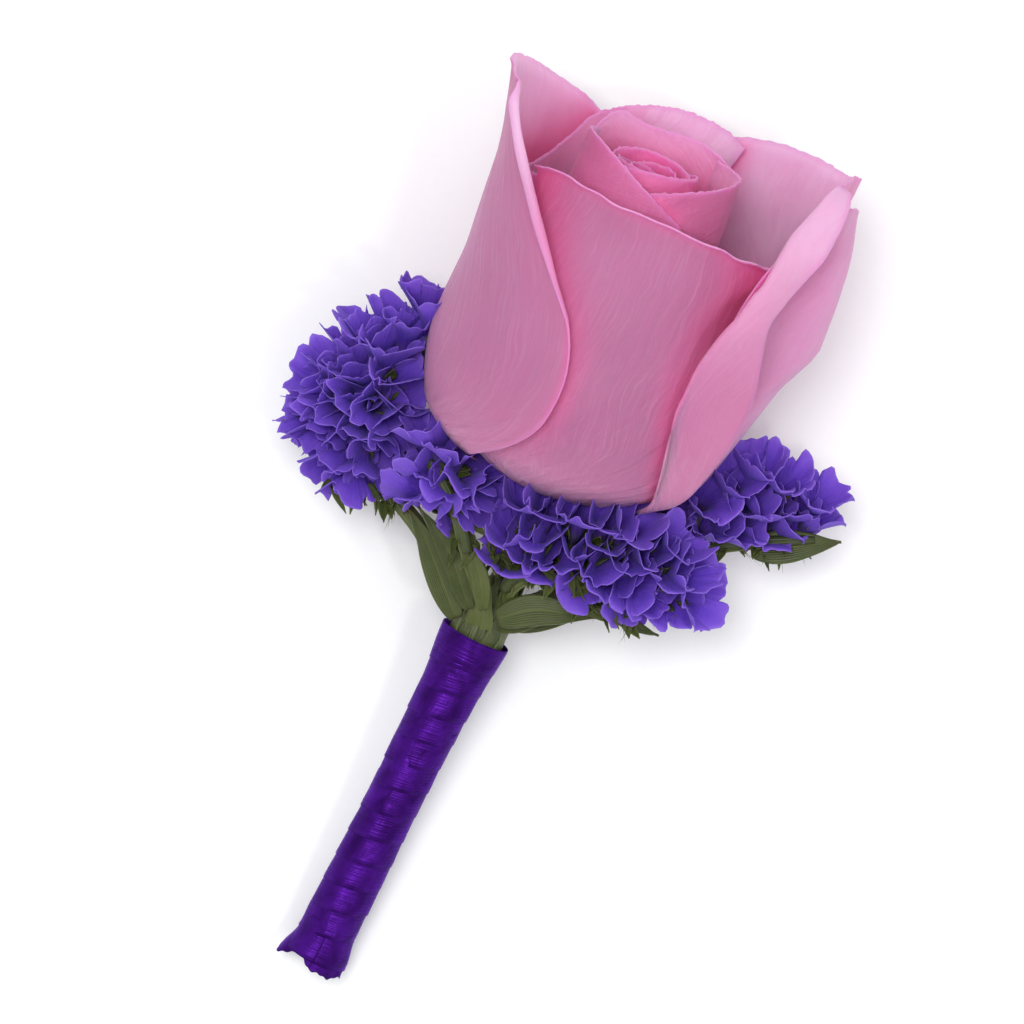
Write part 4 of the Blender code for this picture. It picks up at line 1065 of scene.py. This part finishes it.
def funnel(floret, rng):
    """One papery funnel: five pleated lobes round a deep throat, its rim crumpled."""
    axes = Axes(floret["root"], floret["direction"], floret["side"])
    around = np.arange(FLORET_AROUND) * TAU / FLORET_AROUND
    share = np.array(FLORET_SHARES)
    size = rng.uniform(0.92, 1.14)
    radius = smooth(FLORET_PROFILE, share)[:, None] * size
    pull = np.clip((share - 0.35) / 0.65, 0, 1)[:, None]
    phase = rng.uniform(0, TAU)
    pleat = np.cos(LOBES * around + phase)
    wide = 0.10 * pleat + around_ripple(rng, around, [(2, 0.10), (3, 0.08)])
    edge = around_ripple(rng, around, [(8, 0.04), (11, 0.035), (17, 0.02)])
    radius = radius * (1 + pull * wide + pull**2 * edge)
    lean = 0.16 * np.sin(LOBES * around + phase + 0.7)
    lean = lean + around_ripple(rng, around, [(8, 0.06), (11, 0.05)])
    turn = around + pull * lean
    rise = 0.45 * pleat + around_ripple(rng, around, [(2, 0.45), (3, 0.4), (4, 0.25)])
    frill = around_ripple(rng, around, [(8, 0.36), (11, 0.32), (15, 0.26), (19, 0.16)])
    height = share[:, None] * floret["reach"] + pull**1.5 * rise + pull**3 * frill
    height -= 0.6 * pull**8 * size
    return axes.at(height, radius, np.degrees(turn))


def pressed(grids, places):
    """Crowds the funnels: a rim that would pass the middle between two mouths stands up there."""
    mouths = np.array([place["mouth"] for place in places])
    for index, (grid, place) in enumerate(zip(grids, places)):
        apart = mouths - mouths[index]
        near = np.argsort(np.linalg.norm(apart, axis=1))[1:11]
        share = np.linspace(0, 1, len(grid))[:, None]
        for other in near:
            gap = np.linalg.norm(apart[other])
            if gap > 10:
                continue
            normal = apart[other] / gap
            past = (grid - mouths[index]) @ normal - (0.5 * gap - TOUCH)
            past = 0.8 * np.log1p(np.exp(np.clip(past * 4, -30, 30))) / 4
            past = past * np.clip(share * 2.2, 0, 1)
            grid -= past[..., None] * normal
            grid += 0.5 * past[..., None] * place["direction"]


def scale(root, direction, face, length, width, rng):
    """A small pointed bract."""
    bend = np.asarray(face) * 0.16 * length
    ahead = length * direction
    spine = [root, root + 0.5 * ahead - 0.4 * bend, root + ahead + 0.5 * bend]
    return leaf(spine, width, face, rng, rows=7, columns=4, cup=0.25)


def hair(root, direction, length, thick, rng):
    """A thin hair that tapers to nothing."""
    t = np.linspace(0, 1, 5)
    sway = np.array([rng.uniform(-0.2, 0.2) for _ in range(3)])
    path = root + np.multiply.outer(t * length, direction) + np.multiply.outer(t**2 * length, sway)
    return tube(path, ANY_FACE, thick * (1 - 0.93 * t), 3)


def winged_rings(path, faces, widths, depths, rng, sides=28):
    """A statice stem: a ribbed oval whose two edges run out into thin wavy wings."""
    turn = np.arange(sides) * TAU / sides
    share = np.linspace(0, 1, len(path))[:, None]
    wing = np.abs(np.cos(turn)) ** 3
    wave = 1 + 0.10 * ripple(rng, share * 9, turn / TAU * 1.0)
    across = widths[:, None] * (0.62 + 0.42 * wing) * wave
    ridge = 1 + 0.12 * np.cos(6 * turn)
    depth = depths[:, None] * ridge * (1 - 0.25 * wing)
    return rings_along(path, faces, across, depth, sides)


def spray_stem(name, spray, look):
    in_wrap, outer = branch_path(spray)
    rng = random.Random(name + " stem")
    shape = Shape()
    shares = np.linspace(0, 1, 9)
    curve = along(outer, shares)
    _, aim = aims(spray, curve, shares)
    seat = STEM.at(0, 1.0, spray["seat"]) - STEM.origin
    blend = np.clip(shares * 4, 0, 1)[:, None]
    faces = np.vstack([[seat] * len(in_wrap), (1 - blend) * seat + blend * aim])
    points = np.vstack([in_wrap, curve])
    widths = [STRIP_WIDTH] * 4 + list(smooth([(0, 3.6), (0.25, 2.6), (0.6, 1.7), (1, 0.8)], shares))
    depths = [STRIP_DEPTH] * 4 + list(smooth([(0, 0.9), (0.3, 1.2), (1, 0.7)], shares))
    knots = np.concatenate([[0], np.cumsum(np.linalg.norm(np.diff(points, axis=0), axis=1))])
    knots /= knots[-1]
    fine = np.linspace(0, 1, 90)
    read = np.column_stack([knots, faces, widths, depths])
    read = smooth(read, fine)
    path = along(points, fine)
    shape.rod(winged_rings(path, read[:, :3], read[:, 3], read[:, 4], rng), (0, 0.75, 0))
    for turn, width, pale in spray["strips"]:
        spine = [STEM.at(s, r, turn) for s, r in ((43, 2.9), (49, 3.6), (53, 3.3), (58, 2.7))]
        face = STEM.at(0, 1.0, turn) - STEM.origin
        shape.sheet(leaf(spine, width, face, rng, cup=-0.14), 0.4, tone=(0, pale, 0))
    for spine, width in spray["leaves"]:
        tone = (0, rng.uniform(0.2, 0.8), rng.uniform(0.3, 1))
        shape.sheet(leaf(spine, width, (0, 0, 1), rng), 0.3, tone=tone)
    return shape


def spray_pieces(looks):
    """All sprays: their stems with bracts and hairs, and their crowded florets."""
    taken = []
    for name, spray in SPRAYS.items():
        floret_places(name, spray, taken)
    rng = random.Random("funnels")
    grids = [funnel(place, rng) for place in taken]
    pressed(grids, taken)
    for name, spray in SPRAYS.items():
        green = spray_stem(name, spray, looks["green"])
        blue = Shape()
        for grid, place in zip(grids, taken):
            if place["spray"] != name:
                continue
            share = np.linspace(0, 1, len(grid))
            near = np.broadcast_to(share[:, None], grid.shape[:2])
            own = rng.random()
            tone = np.stack([near, np.zeros_like(near), np.full_like(near, own)], -1)
            u = np.arange(FLORET_AROUND) / FLORET_AROUND
            v = np.array(FLORET_SHARES)
            wall = np.broadcast_to((FLORET_WALL * (1.3 - 0.6 * share))[:, None], grid.shape[:2])
            blue.sheet(grid, wall, np.stack(np.meshgrid(u, v), -1), tone, closed=True)
            root, direction = place["root"], place["direction"]
            stalk = along([place["from"], root - 0.5 * direction, root], np.linspace(0, 1, 6))
            green.rod(tube(stalk, ANY_FACE, STALK, 6), (0, 0.4, 0.2))
            for _ in range(3):
                spin = rng.uniform(0, 360)
                axes = Axes(root, direction, place["side"])
                out = axes.at(0.0, 1.0, spin) - axes.origin
                start = axes.at(rng.uniform(0.0, 1.0), 1.0, spin)
                lean = unit(direction + 0.3 * out)
                bract = scale(start, lean, out, rng.uniform(1.6, 2.8), rng.uniform(1.2, 1.8), rng)
                green.sheet(bract, 0.14, tone=(0, rng.uniform(0.2, 0.9), rng.uniform(0, 1)))
                bristle = hair(start + 2.6 * lean, unit(lean + 0.4 * out), rng.uniform(1, 2), 0.12, rng)
                green.rod(bristle, (0, 0.9, 0.5))
        shares = np.linspace(spray["first"] - 0.04, spray["last"], 30)
        path = along(branch_path(spray)[1], shares)
        _, aim = aims(spray, path, shares)
        girth = 0.6 * CORE * np.clip(1.2 - shares**6 * 0.7, 0.4, 1)
        green.rod(tube(path + 0.8 * aim, aim, girth, 16), (0, 0.15, 0))
        for start, end, count in spray.get("brush", ()):
            for _ in range(count):
                root = np.array(start) + rng.random() * (np.array(end) - start)
                root += [rng.uniform(-1.4, 1.4), rng.uniform(-1.4, 1.4), rng.uniform(-2, 1)]
                out = unit((rng.uniform(-0.2, 0.9), rng.uniform(-1, -0.1), rng.uniform(-0.1, 0.5)))
                blade = scale(root, out, (0, 0, 1), rng.uniform(2, 4.4), rng.uniform(0.5, 1.3), rng)
                green.sheet(blade, 0.14, tone=(0, rng.uniform(0.3, 1), rng.random()))
                for _ in range(2):
                    lean = unit(out + [rng.uniform(-0.5, 0.5) for _ in range(3)])
                    green.rod(hair(root + out, lean, rng.uniform(1.5, 3.2), 0.13, rng), (0, 1, 0.5))
        stem, florets = f"statice_{name}_stem", f"statice_{name}_florets"
        green.piece(f"{name}_greens", [stem], "statice_green", looks["green"])
        blue.piece(f"{name}_florets", [florets], "statice_florets", looks["floret"])


# ---------------------------------------------------------------- the ribbon
WRAP_RADIUS = [(-6, 4.3), (0, 4.35), (1.4, 4.1), (4, 3.75), (24, 3.6), (40, 3.95),
               (WRAP_LENGTH, 4.75)]
WRAP_RELIEF = 0.14
RIBBON_OVERLAP = 1.5  # of its pitch that one turn of ribbon covers
RIBBON_WALL = 0.12
AROUND_WRAP = 72
EAR = 0.77 * TAU  # where the frayed tail stands out
NOTCH = 0.9 * TAU  # where it is torn shorter


def ribbon(look):
    """The ribbon: turns that climb the bundle, each one's lower edge over the one before, the
    first and the last wound square to the stems, and a flared frayed tail."""
    rng = random.Random("ribbon")
    turns = (WRAP_LENGTH - RIBBON_PITCH) / RIBBON_PITCH
    count = int((turns + 2) * AROUND_WRAP)
    spin = np.linspace(0, turns + 2, count)
    start = np.clip(spin - 1, 0, turns) * RIBBON_PITCH
    width = RIBBON_PITCH * RIBBON_OVERLAP
    across = np.linspace(0, 1, 9)
    climb = start[:, None] + across * width
    climb = np.minimum(climb, WRAP_LENGTH - 0.02 * (1 - across))
    stand = WRAP_RELIEF * (0.5 - across) + 0.05 * ripple(rng, spin[:, None] * 6, across * 1.2)
    stand += 0.10 * ripple(rng, spin[:, None] * 2.3, across)
    radius = smooth(WRAP_RADIUS, climb) + stand
    grid = held_above(STEM.at(climb, radius, spin[:, None] * 360), REST)
    places = np.stack(np.broadcast_arrays(spin[:, None], across), -1)
    shape = Shape()
    tone = np.zeros((*grid.shape[:2], 3))
    tone[..., 0] = np.exp(-np.minimum(across, 1 - across) * 8)
    shape.sheet(grid, RIBBON_WALL, places, tone)
    tail = np.linspace(0, 1, 16)[:, None]
    angle = np.arange(120) * TAU / 120
    out = around_ripple(rng, angle, [(2, 0.12), (3, 0.2), (5, 0.16), (8, 0.12), (13, 0.06)])
    out += 0.8 * np.exp(-(((angle - EAR) / 0.42) ** 2))
    end = around_ripple(rng, angle, [(3, 0.2), (4, 0.2), (9, 0.16), (23, 0.1)])
    end -= 1.1 * np.exp(-(((angle - NOTCH) / 0.35) ** 2))
    climb = 3.4 - tail * (4.4 + end)
    radius = smooth(WRAP_RADIUS, climb) - 0.15 + tail**2 * (0.1 + 0.8 * out)
    grid = STEM.at(climb, radius, np.degrees(angle)[None] * np.ones_like(climb))
    grid = held_above(grid, REST)
    places = np.stack(np.broadcast_arrays(angle / TAU, tail), -1)
    shape.sheet(grid, RIBBON_WALL, places, closed=True)
    shape.piece("ribbon", ["stem_wrap"], "satin_ribbon", look)


# ---------------------------------------------------------------- stage, light and camera
# Each lamp is (name, watts, size, place, what it points at), in metres.
LAMPS = [
    ("key", 2.2, 0.24, (-0.12, 0.04, 0.70), (0, 0, 0.01)),
    ("glint", 0.55, 0.07, (0.26, -0.05, 0.64), (0, -0.04, 0.01)),
]
WORLD_LIGHT = 0.87
CAMERA_TURN = 63.4
CAMERA_PLACE = (-0.00249, 0.00303, 0.52)


def aimed(made, place, at):
    made.location = place
    made.rotation_euler = (Vector(at) - Vector(place)).to_track_quat("-Z", "Y").to_euler()
    bpy.context.scene.collection.objects.link(made)


def stage():
    """A pale floor under an even white surround, a soft lamp from the upper left and a small
    one that puts a streak of light on the satin."""
    look = Look("floor")
    grain = look.noise(look.node("TexCoord", {}).outputs["Object"], 900.0, 2.0)
    base = look.mix(look.span(grain, 0.3, 0.7), (0.90, 0.90, 0.905), (0.91, 0.91, 0.912))
    mesh = bpy.data.meshes.new("floor")
    mesh.from_pydata([(-4, -4, 0), (4, -4, 0), (4, 4, 0), (-4, 4, 0)], [], [(0, 1, 2, 3)])
    mesh.materials.append(look.made(Base_Color=base, Roughness=0.9, Specular_IOR_Level=0.1))
    floor = bpy.data.objects.new("floor", mesh)
    bpy.context.scene.collection.objects.link(floor)
    world = bpy.data.worlds.new("studio")
    world.use_nodes = True
    light = world.node_tree.nodes["Background"]
    light.inputs[0].default_value = (0.97, 0.98, 1.0, 1)
    light.inputs[1].default_value = WORLD_LIGHT
    bpy.context.scene.world = world
    for name, energy, size, place, at in LAMPS:
        lamp = bpy.data.lights.new(name, "AREA")
        lamp.energy = energy
        lamp.size = size
        aimed(bpy.data.objects.new(name, lamp), place, at)


def camera():
    """The photograph's view: straight down, with the stems pointing to the lower left."""
    data = bpy.data.cameras.new("camera")
    data.lens = 135
    data.sensor_width = 36
    data.clip_start = 0.01
    made = bpy.data.objects.new("camera", data)
    turn = math.radians(CAMERA_TURN)
    right = (math.sin(turn), math.cos(turn), 0)
    up = (-math.cos(turn), math.sin(turn), 0)
    columns = zip(right, up, (0, 0, 1), CAMERA_PLACE)
    made.matrix_world = Matrix([*columns, (0, 0, 0, 1)])
    bpy.context.scene.collection.objects.link(made)
    bpy.context.scene.camera = made


# ---------------------------------------------------------------- build
camera()
stage()
bpy.context.scene.view_settings.view_transform = "Standard"
looks = {"petal": petal_look(), "floret": floret_look(), "green": green_look(), "satin": satin_look()}
rose_bloom(looks["petal"])
rose_calyx_stem(looks["green"])
spray_pieces(looks)
ribbon(looks["satin"])
bpy.context.view_layer.update()
